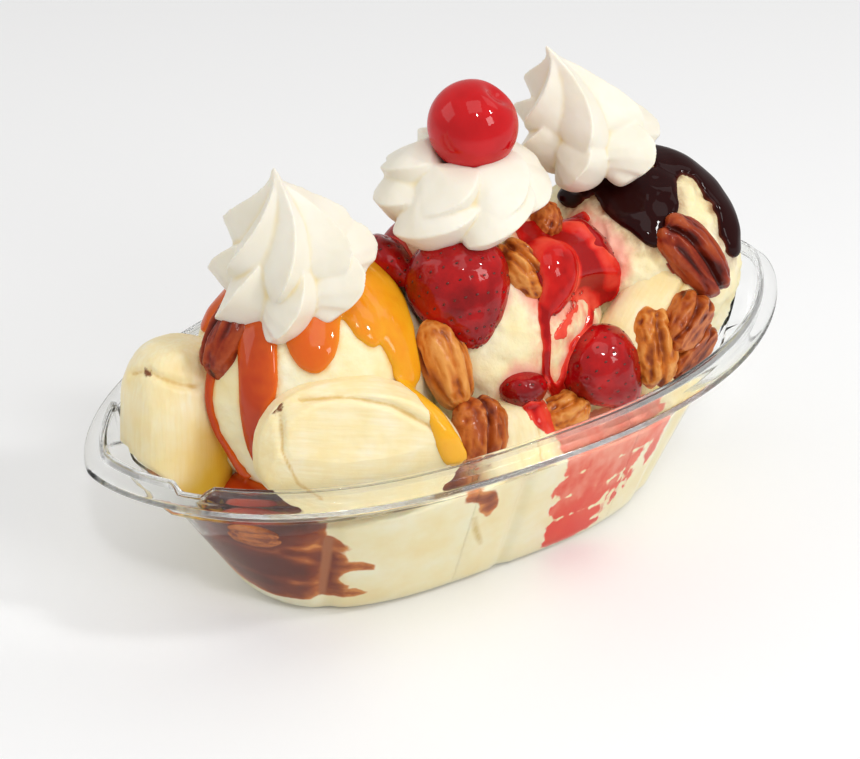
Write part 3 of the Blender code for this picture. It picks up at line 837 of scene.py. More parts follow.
fruit = []
for name, (shape, (heading, rise, spin), height, side_shade_strength, seams, bruises) in BANANAS.items():
    axes, centre, extents, crown = seat("banana_" + name, heading, rise, spin)
    unit, faces = ball_grid(120, 90)
    if shape is banana_slice:
        unit = unit[:, [1, 2, 0]]
    local = shape(unit, (extents[0], extents[1], height * MM))
    piece = mesh_object("banana_piece_" + name, local, faces)
    places, normals = coordinates(piece)
    seam = off_lines(places, seams, 0.3)
    ripple = 0.25 * MM * unevenness(places, 9 * MM) + 0.08 * MM * unevenness(places, 2 * MM)
    furrow = 0.9 * MM * np.exp(-(np.maximum(seam, 0.0) / (0.7 * MM)) ** 2)
    local = places + normals * (ripple - furrow)[:, None]
    keep_axes(piece, local)
    note(piece, "seam", seam / MM)
    note(piece, "bruise", off_lines(places, bruises, 0.6) / MM)
    lay(piece, local, axes, centre, crown)
    places, _ = coordinates(piece)
    # How far each point lies towards the lower right, where the golden painted shade goes
    toward = (places - places.mean(axis=0)) @ SHADED_SIDE_WAY / MM + 2.0 * unevenness(places, 8 * MM)
    note(piece, "golden_shade", side_shade_strength * smooth_step(toward, -1.0, 13.0))
    serve(piece, flesh, "banana_flesh", "banana_" + name)
    fruit.append(piece)


# Strawberries ---------------------------------------------------------------------------------
# Ripe berries, halved and tossed in their syrup: blunt at the stalk end and narrow at the tip. Each
# seed sits in its own dimple, in rows that run round the berry.

# heading, rise and spin of the seat, height and depth of the dimples in mm
STRAWBERRIES = {
    "big": (-142, 41, -59, 12.75, 0.4),
    "centre": (-81, 43, -116, 6.75, 0.15),
    "back_right": (-60, 45, -75, 7.5, 0.2),
    "front_right": (-95, 35, -57, 11.25, 0.25),
    "small": (-95, 30, -101, 7.5, 0.1),
    "far_left": (160, 60, 20, 9.0, 0.3),
    "back": (80, 30, -70, 10.5, 0.3),
}
SEED_SPACING, SEED_LENGTH = 3.1 * MM, 0.95 * MM
DIMPLE_REACH = 0.75 * MM


def berry_shape(unit, size):
    """A halved berry on its cut face, its tip towards +X."""
    narrow = 1.0 - 0.28 * unit[:, 0] - 0.12 * unit[:, 0] ** 2
    up = np.where(unit[:, 2] > 0, unit[:, 2], 0.35 * unit[:, 2])
    wide = unit[:, 1] * narrow
    return np.column_stack((unit[:, 0] * size[0] / 2, wide * size[1] / 2, up * narrow * size[2]))


def seed_places(size):
    """Dimples in rows over the berry's outer side, each row set off by half a step."""
    spots = []
    rows = max(3, int(size[0] / SEED_SPACING))
    for row in range(rows + 1):
        x = math.cos(math.pi * (row + 0.5) / (rows + 1))
        girth = math.pi * math.sqrt(1.0 - x * x) * (size[1] + 2 * size[2]) / 4
        count = max(2, int(girth / SEED_SPACING))
        for k in range(count + 1):
            turn = math.pi * (k + 0.5 * (row % 2)) / count
            if turn <= math.pi:
                girdle = math.sqrt(1 - x * x)
                spots.append((x, girdle * math.cos(turn), girdle * math.sin(turn)))
    return np.array(spots)


berry_skin, berry_shader = principled(
    "berry_skin", 0.25, Coat_Weight=0.65, Coat_Roughness=0.04, Specular_IOR_Level=0.05,
    Subsurface_Weight=0.1, Subsurface_Radius=(1.0, 0.15, 0.1), Subsurface_Scale=2 * MM)
link(berry_skin, ramp(berry_skin, noise(berry_skin, 9 * MM, 3.0), (
    (0.3, (0.20, 0.001, 0.002)), (0.5, (0.34, 0.002, 0.004)), (0.75, (0.56, 0.006, 0.006)))),
    berry_shader.inputs["Base Color"])
relief(berry_skin, berry_shader, (noise(berry_skin, 2.4 * MM, 3.0), 0.5 * MM, 0.3))
seed_coat, seed_shader = principled("strawberry_seed", 0.3)
link(seed_coat, ramp(seed_coat, noise(seed_coat, 2 * MM), (
    (0.3, (0.06, 0.004, 0.003)), (0.7, (0.16, 0.02, 0.008)))), seed_shader.inputs["Base Color"])


def surface_of(pieces):
    """Several pieces as one surface that points can be found on."""
    vertices, faces = [], []
    for piece in pieces:
        base = len(vertices)
        vertices += [v.co.copy() for v in piece.data.vertices]
        faces += [[base + k for k in face.vertices] for face in piece.data.polygons]
    return BVHTree.FromPolygons(vertices, faces)


def seed_tree():
    """Geometry Nodes: on each point of the input, a flattened seed that lies along the skin."""
    tree = bpy.data.node_groups.new("seeds_in_dimples", "GeometryNodeTree")
    face = tree.interface
    face.new_socket("Geometry", in_out="INPUT", socket_type="NodeSocketGeometry")
    face.new_socket("Seed length", in_out="INPUT", socket_type="NodeSocketFloat")
    face.new_socket("Geometry", in_out="OUTPUT", socket_type="NodeSocketGeometry")
    make, tie = tree.nodes.new, tree.links.new
    entry, leave = make("NodeGroupInput"), make("NodeGroupOutput")
    seed = make("GeometryNodeMeshIcoSphere")
    seed.inputs["Subdivisions"].default_value = 2
    seed.inputs["Radius"].default_value = 0.5
    shape = make("GeometryNodeTransform")
    shape.inputs["Scale"].default_value = (1.0, 0.62, 0.5)
    tie(seed.outputs["Mesh"], shape.inputs["Geometry"])
    facing = make("FunctionNodeAlignRotationToVector")
    facing.axis = "Z"
    normal = make("GeometryNodeInputNamedAttribute")
    normal.data_type = "FLOAT_VECTOR"
    normal.inputs["Name"].default_value = "skin_normal"
    tie(normal.outputs["Attribute"], facing.inputs["Vector"])
    spread = make("GeometryNodeInstanceOnPoints")
    tie(entry.outputs["Geometry"], spread.inputs["Points"])
    tie(shape.outputs["Geometry"], spread.inputs["Instance"])
    tie(facing.outputs["Rotation"], spread.inputs["Rotation"])
    tie(entry.outputs["Seed length"], spread.inputs["Scale"])
    real = make("GeometryNodeRealizeInstances")
    tie(spread.outputs["Instances"], real.inputs["Geometry"])
    coat = make("GeometryNodeSetMaterial")
    coat.inputs["Material"].default_value = seed_coat
    tie(real.outputs["Geometry"], coat.inputs["Geometry"])
    tie(coat.outputs["Geometry"], leave.inputs["Geometry"])
    return tree


seeds_in_dimples = seed_tree()
seed_points, seed_normals = [], []
for name, (heading, rise, spin, height, dimple_depth) in STRAWBERRIES.items():
    axes, centre, extents, crown = seat("strawberry_" + name, heading, rise, spin)
    size = (extents[0], extents[1] * 0.98, height * MM)
    unit, faces = ball_grid(88, 60)
    local = berry_shape(unit, size)
    dimples = berry_shape(seed_places(size), size)
    piece = mesh_object("strawberry_half_" + name, local, faces)
    local, normals = coordinates(piece)
    pit = np.zeros(len(local))
    for dimple in dimples:
        away = ((local - dimple) ** 2).sum(axis=1)
        pit = np.maximum(pit, np.exp(-away / DIMPLE_REACH ** 2))
    local = local + normals * (0.35 * MM * unevenness(local, 8 * MM) - dimple_depth * MM * pit)[:, None]
    lay(piece, local, axes, centre, crown)
    serve(piece, berry_skin, "strawberry_red", "strawberry_" + name)
    fruit.append(piece)
    skin = surface_of([piece])
    shift = np.array((centre[0], centre[1], crown - local[:, 2].max()))
    for dimple in (dimples + shift) @ axes:
        spot, normal, _, _ = skin.find_nearest(dimple)
        seed_points.append(spot)
        seed_normals.append(normal)

seeds = bpy.data.objects.new("strawberry_seeds", bpy.data.meshes.new("strawberry_seeds"))
seeds.data.from_pydata([tuple(p) for p in seed_points], [], [])
kept = seeds.data.attributes.new("skin_normal", "FLOAT_VECTOR", "POINT")
kept.data.foreach_set("vector", np.array(seed_normals, dtype=np.float32).ravel())
scene.collection.objects.link(seeds)
spreading = seeds.modifiers.new("seeds", "NODES")
spreading.node_group = seeds_in_dimples
for item in seeds_in_dimples.interface.items_tree:
    if item.name == "Seed length":
        spreading[item.identifier] = SEED_LENGTH
flattened(seeds)
serve(seeds, seed_coat, "strawberry_red")


# Sauces ---------------------------------------------------------------------------------------
# Warm caramel on the left scoop, strawberry syrup on the middle one and chocolate on the right one.
# Each was poured over the top and has run down in ribbons that swell to a thick drop at the end.

OUTSIDE, INSIDE = 90 * MM, 30 * MM       # of a scoop's centre: past all toppings, and where none is hit
SAUCE_GAP = 0.1 * MM              # from the wall, less than the fruit's, so that sauce lies over it there
ice = surface_of(scoops.values())
ice_and_fruit = surface_of([*scoops.values(), *fruit])


def outermost(over, centre, out):
    """The outermost point of a surface in a direction from a scoop's centre."""
    hit = over.ray_cast(centre + out * OUTSIDE, -out)
    return hit[0] if hit[0] else centre + out * INSIDE


def ribbon(side, run, thickness, over=ice, samples=46, lanes=14):
    """A run of sauce down a scoop, through (heading, rise, half width in mm) as a closed shape."""
    centre = ball_centre[side]
    keys = np.linspace(0.0, 1.0, len(run))
    t = np.linspace(0.0, 1.0, samples)
    spots = np.array([(*heading_vector(h, r), w) for h, r, w in run])
    smooth = np.column_stack([np.interp(t, keys, spots[:, k]) for k in range(4)])
    for _ in range(4):
        smooth[1:-1] = (smooth[:-2] + 2.0 * smooth[1:-1] + smooth[2:]) / 4.0
    path = [outermost(over, centre, Vector(row[:3]).normalized()) for row in smooth]
    ways, reaches, ends = [], np.empty((samples, lanes + 1)), []
    for k, middle in enumerate(path):
        ahead = (path[min(k + 1, samples - 1)] - path[max(k - 1, 0)]).normalized()
        side_way = ahead.cross((middle - centre).normalized()).normalized()
        to_end = min((path[-1] - middle).length, (path[0] - middle).length + 2 * MM)
        half = smooth[k, 3] * MM
        round_end = math.sqrt(max(1.0 - (1.0 - min(to_end / half, 1.0)) ** 2, 0.0))
        ends.append(round_end)
        row = []
        for lane in range(lanes + 1):
            across = math.cos(math.pi * lane / lanes) * half * max(round_end, 0.06)
            row.append((middle + side_way * across - centre).normalized())
            reaches[k, lane] = (outermost(over, centre, row[-1]) - centre).length
        ways.append(row)
    for _ in range(5):
        reaches[1:-1] = (reaches[:-2] + 2.0 * reaches[1:-1] + reaches[2:]) / 4.0
        reaches[:, 1:-1] = (reaches[:, :-2] + 2.0 * reaches[:, 1:-1] + reaches[:, 2:]) / 4.0
    rings = []
    for k in range(samples):
        ring = []
        for lane in range(2 * lanes):
            lift = math.sin(math.pi * lane / lanes)
            height = thickness * MM * (0.25 + 0.75 * ends[k])
            beyond = height * lift ** 0.7 if lift > 0 else 1.6 * MM * lift
            nearest = min(lane, 2 * lanes - lane)
            ring.append(centre + ways[k][nearest] * (reaches[k, nearest] + beyond))
        rings.append(ring)
    return mesh_object("ribbon", *loft(rings, True, True))


def pour(name, ribbons, over=ice, cell=0.5 * MM):
    """Merge some ribbons into one smooth sauce and note how thick it lies, in mm."""
    sauce = merged(join(name, ribbons), cell, 5)
    places, _ = coordinates(sauce)
    low = places[:, 2] < RIM_TOP
    places[low] = kept_inside(places[low], SAUCE_GAP)
    move_to(sauce, places)
    depth = [over.find_nearest(vertex.co, 9 * MM)[3] or 0.0 for vertex in sauce.data.vertices]
    note(sauce, "thick", np.array(depth) / MM)
    return sauce


def sauce_material(name, gloss, tone, stops, **sockets):
    """Thick, wet and glossy; the tone picks the colour from the stops."""
    made, shader = principled(
        name, 0.1, Coat_Weight=gloss, Coat_Roughness=0.04, Specular_IOR_Level=0.0, **sockets)
    link(made, ramp(made, tone(made), stops), shader.inputs["Base Color"])
    relief(made, shader, (noise(made, 4 * MM, 2.0), 0.6 * MM, 0.4))
    return made


def tinge(name, sauce, reach):
    """Note on the ice cream how close a sauce is, from 1 at its edge to 0 at a reach in mm."""
    skin = surface_of([sauce])
    for scoop in scoops.values():
        close = np.zeros(len(scoop.data.vertices))
        for k, vertex in enumerate(scoop.data.vertices):
            distance = skin.find_nearest(vertex.co, reach * MM)[3]
            if distance is not None:
                close[k] = 1.0 - distance / (reach * MM)
        note(scoop, name, close)


def thin_edges(material, full, size):
    """From 0 where the sauce lies at its full thickness in mm to 1 where it thins out, with patches."""
    thin = math_node(material, "MULTIPLY_ADD", attribute(material, "thick"), -1.0 / full, 1.0)
    patches = math_node(material, "MULTIPLY_ADD", noise(material, size), 0.7, -0.35)
    return math_node(material, "ADD", thin, patches)


# Across the left scoop in metres: how far its caramel takes to pale, and where it is darkest
PALING_RUN, DARKEST = 0.048, -0.066


def paler_to_the_right(material):
    """From 0 on the left of the left scoop to 1 beside the middle one, paler too where it is thin."""
    spot = node(material, "SeparateXYZ")
    link(material, node(material, "TexCoord").outputs["Object"], spot.inputs["Vector"])
    across = math_node(material, "MULTIPLY_ADD", spot.outputs["X"], 1 / PALING_RUN, -DARKEST / PALING_RUN)
    return math_node(material, "MULTIPLY_ADD", thin_edges(material, 2.2, 10 * MM), 0.4, across)


ice_and_slice = surface_of([*scoops.values(), fruit[0]])
POOL_CENTRE, POOL_RADII = (-65, -12, 43.5), (9.5, 8, 4)
pool_unit, pool_faces = ball_grid(48, 32)
pool = (pool_unit * POOL_RADII + POOL_CENTRE) * MM
caramel_sauce = pour("caramel_sauce", [
    ribbon("left", ((-150, 76, 10), (-166, 58, 6.5), (-154, 46, 5.6), (-146, 31, 5.6), (-144, 13, 4.7),
                    (-144, -4, 2.7), (-143, -15, 1.1)), 2.2),
    ribbon("left", ((-120, 74, 9), (-117, 61, 7.7), (-116, 50, 6.9), (-115, 42, 5.2),
                    (-114, 37, 3.2)), 2.2),
    ribbon("left", ((24, 72, 10), (6, 64, 8), (-16, 61, 8.5), (-42, 54, 8.6), (-56, 42, 7.0), (-61, 29, 5.0),
                    (-62, 16, 3.6)), 2.4),
    ribbon("left", ((-58, 44, 5.0), (-60, 32, 4.8), (-65, 22, 4.2), (-71, 15, 3.6), (-73, 6, 3.2),
                    (-71, -1, 3.2), (-68, -5, 3.2)), 1.7, ice_and_slice),
    ribbon("left", ((-62, 66, 8), (-70, 56, 6), (-74, 48, 4.6), (-76, 42, 2.2)), 2.0),
    ribbon("left", ((60, 74, 10), (70, 58, 7), (80, 40, 5), (84, 22, 3.6)), 1.7),
    ribbon("left", ((130, 76, 10), (140, 60, 6), (146, 44, 4.2), (150, 26, 2.4)), 1.6),
    ribbon("left", ((-178, 30, 2.4), (-176, 22, 1.6), (-171, 6, 1.3), (-163, -10, 1.2), (-157, -22, 1.6),
                    (-154, -28, 2.6)), 1.4),
    mesh_object("pool", pool, pool_faces),
], ice_and_slice)
caramel = sauce_material("caramel", 0.75, paler_to_the_right, (
    (0.0, (0.50, 0.048, 0.006)), (0.3, (0.72, 0.12, 0.008)), (0.6, (0.80, 0.22, 0.008)),
    (0.95, (0.89, 0.43, 0.014))),
    Subsurface_Weight=0.2, Subsurface_Radius=(1.0, 0.35, 0.08), Subsurface_Scale=2 * MM)
tinge("amber", caramel_sauce, 1.5)
serve(caramel_sauce, caramel, "vanilla_ice_cream")

chocolate_sauce = pour("chocolate_sauce", [
    ribbon("right", ((60, 84, 16), (150, 72, 14), (160, 58, 9), (174, 50, 6)), 1.8),
    ribbon("right", ((-150, 86, 14), (-132, 74, 11), (-118, 63, 9.5), (-112, 54, 6.6), (-110, 46, 4.0),
                     (-108, 41, 2.0)), 2.0),
    ribbon("right", ((-60, 84, 12), (-86, 76, 7), (-90, 62, 3.6), (-91, 54, 1.6)), 1.7),
    ribbon("right", ((40, 82, 14), (16, 68, 11), (-8, 55, 8.4), (-26, 47, 7.0), (-40, 37, 5.8),
                     (-48, 27, 5.0), (-52, 18, 4.2)), 2.8),
    ribbon("right", ((60, 76, 12), (60, 60, 8), (66, 44, 5.6), (70, 30, 3.6)), 1.9),
    ribbon("right", ((110, 76, 12), (112, 58, 7), (114, 44, 4.0)), 1.8),
])
chocolate = sauce_material("chocolate", 0.3, lambda made: thin_edges(made, 1.6, 8 * MM), (
    (0.3, (0.018, 0.0015, 0.0015)), (0.6, (0.045, 0.006, 0.004)), (0.9, (0.12, 0.024, 0.012))))
tinge("cocoa", chocolate_sauce, 4)
serve(chocolate_sauce, chocolate, "vanilla_ice_cream")

strawberry_syrup = pour("strawberry_syrup", [
    ribbon("middle", ((-46, 70, 5), (-58, 60, 6), (-66, 50, 7.4), (-73, 42, 6.4), (-80, 37, 3.6),
                      (-86, 31, 1.7), (-88, 19, 1.3), (-90, 4, 1.2), (-84, -8, 1.4),
                      (-76, -17, 2.0)), 1.2, ice_and_fruit, 60),
    ribbon("middle", ((-52, 19, 1.3), (-60, 14, 1.5), (-71, 11, 1.7), (-79, 1, 1.4), (-81, -6, 1.4),
                      (-74, -14, 1.6)), 1.0),
    ribbon("middle", ((-102, -2, 1.6), (-97, -7, 2.6), (-92, -12, 2.4),
                      (-88, -17, 1.8)), 0.9, ice_and_fruit),
    ribbon("middle", ((128, 60, 6), (142, 46, 5.5), (160, 46, 4.6), (-178, 46, 4.0), (-169, 41, 2.6)), 1.4),
    ribbon("middle", ((100, 70, 9), (92, 54, 6), (88, 38, 3.6), (92, 24, 2.2)), 1.2),
    ribbon("right", ((-176, 48, 3.5), (-166, 43, 4.8), (-152, 36, 5.8), (-140, 28, 6.0), (-138, 18, 3.8),
                     (-145, 9, 1.6)), 0.9, ice_and_fruit),
], ice_and_fruit)
syrup = sauce_material("strawberry_syrup", 0.55, lambda made: thin_edges(made, 1.2, 8 * MM), (
    (0.1, (0.34, 0.003, 0.003)), (0.45, (0.62, 0.010, 0.007)), (0.9, (0.86, 0.08, 0.045))),
    Subsurface_Weight=0.2, Subsurface_Radius=(1.0, 0.2, 0.1), Subsurface_Scale=2 * MM)
tinge("rosy", strawberry_syrup, 4)
serve(strawberry_syrup, syrup, "strawberry_red")


# Pecans ---------------------------------------------------------------------------------------
# Toasted pecan halves: two long lobes with a deep groove between them, wrinkled along their length,
# oily brown on the ridges and dark in the folds, partly their own darker skin and partly painted shade.

# heading, rise and spin of the seat, height in mm, tone, where the groove runs across the width (-1 to
# 1), how deep it is, and how many wrinkles cross the length
PECANS = {
    "left": (180, 37, -79, 7.2, "mahogany", -0.25, 0.7, 1.4),
    "centre": (-104, 52, -60, 7.2, "golden", 0.15, 0.7, 2.2),
    "top": (-60, 50, -140, 5.6, "toasted", 0.3, 0.4, 2.4),
    "long": (-100, 25, -80, 7.2, "golden", 0.62, 0.5, 2.0),
    "round": (-80, 30, -110, 8.0, "toasted", 0.0, 0.9, 2.6),
    "front": (-95, 45, 14, 7.2, "golden", 0.25, 0.5, 2.8),
    "ridged": (-100, 35, -96, 6.4, "golden", 0.1, 0.7, 2.8),
    "right_upper": (-80, 40, -150, 7.2, "toasted", -0.2, 0.7, 2.4),
    "right_under": (-80, 38, -154, 6.4, "toasted", 0.1, 0.6, 2.0),
    "big": (-84, 30, -64, 7.2, "mahogany", -0.08, 0.9, 1.2),
    "back_left": (75, 30, -40, 7.2, "golden", 0.0, 0.8, 1.6),
    "back_right": (85, 15, -120, 7.2, "toasted", 0.1, 0.8, 2.0),
}
NUT_TONES = {
    "golden": ((0.24, 0.045, 0.008), (0.58, 0.16, 0.018), (0.78, 0.34, 0.08)),
    "toasted": ((0.14, 0.018, 0.005), (0.38, 0.07, 0.010), (0.60, 0.18, 0.035)),
    "mahogany": ((0.06, 0.005, 0.002), (0.24, 0.022, 0.006), (0.42, 0.075, 0.018)),
}

nut_skins = {}
for tone, (dark, mid, light) in NUT_TONES.items():
    made, shader = principled(
        "pecan_" + tone, 0.34, Coat_Weight=0.35, Coat_Roughness=0.12, Specular_IOR_Level=0.1)
    speckle = math_node(made, "MULTIPLY_ADD", noise(made, 1.6 * MM, 4.0), 0.35, -0.17)
    height = math_node(made, "ADD", attribute(made, "fold"), speckle)
    # Darker where a point lies low in the folds: partly the nut's own darker skin, partly painted shade
    link(made, ramp(made, height, ((0.15, dark), (0.5, mid), (0.9, light))), shader.inputs["Base Color"])
    relief(made, shader, (noise(made, 0.9 * MM, 3.0), 0.25 * MM, 0.5))
    nut_skins[tone] = made


def pecan_shape(unit, size, number, groove_place, groove_depth, across):
    """The nut's surface and how high each point stands in its folds, from 0 to 1."""
    x, y, z = unit.T
    place = np.column_stack((x * across, y * 2.6, z * 2.6)) + number * 7.7
    wrinkle = 1.0 - np.abs(unevenness(place, 1.0, 3))
    lumps = unevenness(place, 1.6, 2)
    from_groove = y - groove_place - 0.07 * np.sin(4.0 * x + number)
    groove = groove_depth * np.exp(-(from_groove / 0.14) ** 2) * (0.75 + 0.25 * x ** 2)
    side_groove = 0.5 * np.exp(-((np.abs(from_groove) - 0.55) / 0.09) ** 2)
    height = 1.0 - 0.55 * groove - 0.15 * side_groove + 0.14 * (wrinkle - 0.6) + 0.07 * lumps
    blunt = np.sign(x) * np.abs(x) ** 0.8
    up = np.where(z > 0, z * height, 0.3 * z)
    wide = y * (1.0 - 0.1 * x) * (1.0 + 0.12 * (wrinkle - 0.6) + 0.06 * lumps)
    notch = 1.0 - 0.14 * np.exp(-(from_groove / 0.2) ** 2) * x ** 6 + 0.05 * lumps
    local = np.column_stack((blunt * notch * size[0] / 2, wide * size[1] / 2, up * size[2]))
    stand = 0.62 + 0.6 * (wrinkle - 0.6) - 0.8 * groove - 0.5 * side_groove + 0.15 * lumps
    return local, np.clip(stand, 0.0, 1.0)


for number, (name, (heading, rise, spin, height, tone, *folds)) in enumerate(PECANS.items()):
    axes, centre, extents, crown = seat("pecan_" + name, heading, rise, spin)
    unit, faces = ball_grid(104, 72)
    local, stand = pecan_shape(unit, (extents[0], extents[1], height * MM), number, *folds)
    piece = mesh_object("pecan_half_" + name, local, faces)
    lay(piece, local, axes, centre, crown)
    note(piece, "fold", stand)
    serve(piece, nut_skins[tone], "pecan_brown", "pecan_" + name)

# One more half has sunk in the caramel and lies flat against the wall, pressed a little into it
SUNK_CENTRE, SUNK_SIZE = (-71.0, -22.0, 36.5), (15, 9.5, 5)
SUNK_HEADING, SUNK_RISE = -130, -18
SUNK_INTO_WALL = 0.6 * MM
SUNK_SHADE = 0.6                  # the caramel over it makes it darker
unit, faces = ball_grid(104, 72)
local, stand = pecan_shape(unit, np.array(SUNK_SIZE) * MM, 31, 0.1, 0.6, 2.0)
out = heading_vector(SUNK_HEADING, SUNK_RISE)
level = Vector((0.0, 0.0, 1.0)).cross(out).normalized()
places = local @ np.array((level, out.cross(level), out)) + np.array(SUNK_CENTRE) * MM
sunk = mesh_object("pecan_half_sunk", local, faces)
move_to(sunk, kept_inside(places, -SUNK_INTO_WALL))
note(sunk, "fold", stand * SUNK_SHADE)
serve(sunk, nut_skins["golden"], "pecan_brown")


# Whipped cream --------------------------------------------------------------------------------
# Piped through a star nozzle: a ring of lobes that turn as they rise, and above it a second ring
# drawn up into a leaning tip. The middle one stays flat on top and carries the cherry.

# along a lobe: how far along, then height, way out, thickness and breadth as shares
SKIRT = ((0.0, 0.17, 0.76, 0.05, 0.06), (0.15, 0.19, 0.68, 0.20, 0.22), (0.4, 0.25, 0.62, 0.32, 0.32),
         (0.65, 0.34, 0.55, 0.32, 0.32), (0.85, 0.43, 0.43, 0.24, 0.26), (1.0, 0.50, 0.30, 0.14, 0.18))
PEAK = ((0.0, 0.33, 0.54, 0.08, 0.10), (0.12, 0.38, 0.48, 0.26, 0.28), (0.28, 0.47, 0.39, 0.34, 0.34),
        (0.46, 0.58, 0.28, 0.30, 0.30), (0.62, 0.70, 0.17, 0.22, 0.22), (0.76, 0.81, 0.08, 0.14, 0.13),
        (0.88, 0.90, 0.02, 0.07, 0.06), (1.0, 1.0, 0.0, 0.02, 0.02))
BASE = ((0.0, 0.42, 0.72, 0.12, 0.14), (0.15, 0.46, 0.70, 0.24, 0.28), (0.4, 0.52, 0.66, 0.30, 0.38),
        (0.65, 0.58, 0.58, 0.32, 0.38), (0.85, 0.63, 0.44, 0.26, 0.30), (1.0, 0.68, 0.30, 0.14, 0.18))
CROWN = ((0.0, 0.52, 0.58, 0.12, 0.14), (0.15, 0.57, 0.54, 0.28, 0.32), (0.4, 0.66, 0.48, 0.34, 0.38),
         (0.7, 0.78, 0.40, 0.32, 0.36), (1.0, 0.90, 0.24, 0.16, 0.2))
ROSETTES = {
    # foot, lean towards the tip and rise of its right side in mm, radius, height, softness, how keen
    # its edges are, then (profile, lobes, turn, first heading)
    "left": ((-45, 0, 86), (-6, 0), 6, 23.5, 46.5, 5, 1.4, ((SKIRT, 7, 45, 10), (PEAK, 6, 70, 40))),
    "middle": ((4, 0, 93.5), (0, 0), 2, 23.5, 29.5, 8, 1.0, ((BASE, 6, 70, 0), (CROWN, 5, 80, 30))),
    "right": ((49, 6, 97), (-17, 0), 0, 21.8, 45.5, 7, 1.2, ((SKIRT, 6, 50, 25), (PEAK, 5, 75, 10))),
}


LOBE_ROWS, LOBE_SIDES = 44, 32
CREST = 1.35                      # how far a lobe's keen outer edge stands out


def lobe(profile, turn, radius, height, keenness):
    """One lobe as a tapered, turning tube, keen on its outer side and closed at its ends."""
    keys = np.array(profile)
    t = np.linspace(0.0, 1.0, LOBE_ROWS)
    shares = np.column_stack([np.interp(t, keys[:, 0], keys[:, k]) for k in (1, 2, 3, 4)])
    for _ in range(6):
        shares[1:-1] = (shares[:-2] + 2.0 * shares[1:-1] + shares[2:]) / 4.0
    angle = np.radians(turn) * t
    path = np.column_stack((np.cos(angle) * shares[:, 1] * radius, np.sin(angle) * shares[:, 1] * radius,
                            shares[:, 0] * height))
    rings = []
    for k in range(len(t)):
        ahead = Vector(path[min(k + 1, len(t) - 1)] - path[max(k - 1, 0)]).normalized()
        out = Vector((math.cos(angle[k]), math.sin(angle[k]), 0.0))
        out = (out - ahead * out.dot(ahead)).normalized()
        across = ahead.cross(out)
        end = 1.0 if 0 < k < len(t) - 1 else 0.5
        thick, broad = shares[k, 2] * radius * end, shares[k, 3] * radius * end
        ring = []
        for m in range(LOBE_SIDES):
            around = 2.0 * math.pi * m / LOBE_SIDES
            side = math.sin(around) * abs(math.sin(around / 2.0)) ** keenness * (1.0 + 0.36 * keenness)
            ring.append(Vector(path[k]) + out * math.cos(around) * CREST * thick + across * side * broad)
        rings.append(ring)
    return loft(rings, True, True)


def rosette_tree():
    """Geometry Nodes: repeats one lobe round the axis, then leans the whole towards its tip."""
    tree = bpy.data.node_groups.new("lobes_round_axis", "GeometryNodeTree")
    face = tree.interface
    face.new_socket("Geometry", in_out="INPUT", socket_type="NodeSocketGeometry")
    sizes = (("Lobes", "Int"), ("First heading", "Float"), ("Lean", "Vector"), ("Height", "Float"))
    for name, kind in sizes:
        face.new_socket(name, in_out="INPUT", socket_type="NodeSocket" + kind)
    face.new_socket("Geometry", in_out="OUTPUT", socket_type="NodeSocketGeometry")
    make, tie = tree.nodes.new, tree.links.new
    entry, leave = make("NodeGroupInput"), make("NodeGroupOutput")
    line = make("GeometryNodeMeshLine")
    line.inputs["Offset"].default_value = (0.0, 0.0, 0.0)
    tie(entry.outputs["Lobes"], line.inputs["Count"])
    index = make("GeometryNodeInputIndex")
    step = make("ShaderNodeMath")
    step.operation = "DIVIDE"
    step.inputs[0].default_value = 2.0 * math.pi
    tie(entry.outputs["Lobes"], step.inputs[1])
    heading = make("ShaderNodeMath")
    heading.operation = "MULTIPLY_ADD"
    tie(index.outputs["Index"], heading.inputs[0])
    tie(step.outputs[0], heading.inputs[1])
    tie(entry.outputs["First heading"], heading.inputs[2])
    turn = make("ShaderNodeCombineXYZ")
    tie(heading.outputs[0], turn.inputs["Z"])
    spread = make("GeometryNodeInstanceOnPoints")
    tie(line.outputs["Mesh"], spread.inputs["Points"])
    tie(entry.outputs["Geometry"], spread.inputs["Instance"])
    tie(turn.outputs["Vector"], spread.inputs["Rotation"])
    vary = make("FunctionNodeRandomValue")
    vary.data_type = "FLOAT_VECTOR"
    vary.inputs["Min"].default_value = (0.93, 0.93, 0.93)
    vary.inputs["Max"].default_value = (1.07, 1.07, 1.05)
    vary.inputs["Seed"].default_value = 11
    tie(vary.outputs["Value"], spread.inputs["Scale"])
    real = make("GeometryNodeRealizeInstances")
    tie(spread.outputs["Instances"], real.inputs["Geometry"])
    place = make("GeometryNodeInputPosition")
    parts = make("ShaderNodeSeparateXYZ")
    tie(place.outputs["Position"], parts.inputs["Vector"])
    share = make("ShaderNodeMath")
    share.operation = "DIVIDE"
    share.use_clamp = True
    tie(parts.outputs["Z"], share.inputs[0])
    tie(entry.outputs["Height"], share.inputs[1])
    curve = make("ShaderNodeMath")
    curve.operation = "POWER"
    curve.inputs[1].default_value = 1.6
    tie(share.outputs[0], curve.inputs[0])
    shift = make("ShaderNodeVectorMath")
    shift.operation = "SCALE"
    tie(entry.outputs["Lean"], shift.inputs[0])
    tie(curve.outputs[0], shift.inputs["Scale"])
    leaned = make("GeometryNodeSetPosition")
    tie(real.outputs["Geometry"], leaned.inputs["Geometry"])
    tie(shift.outputs["Vector"], leaned.inputs["Offset"])
    coat = make("GeometryNodeSetMaterial")
    coat.inputs["Material"].default_value = whipped
    tie(leaned.outputs["Geometry"], coat.inputs["Geometry"])
    tie(coat.outputs["Geometry"], leave.inputs["Geometry"])
    return tree


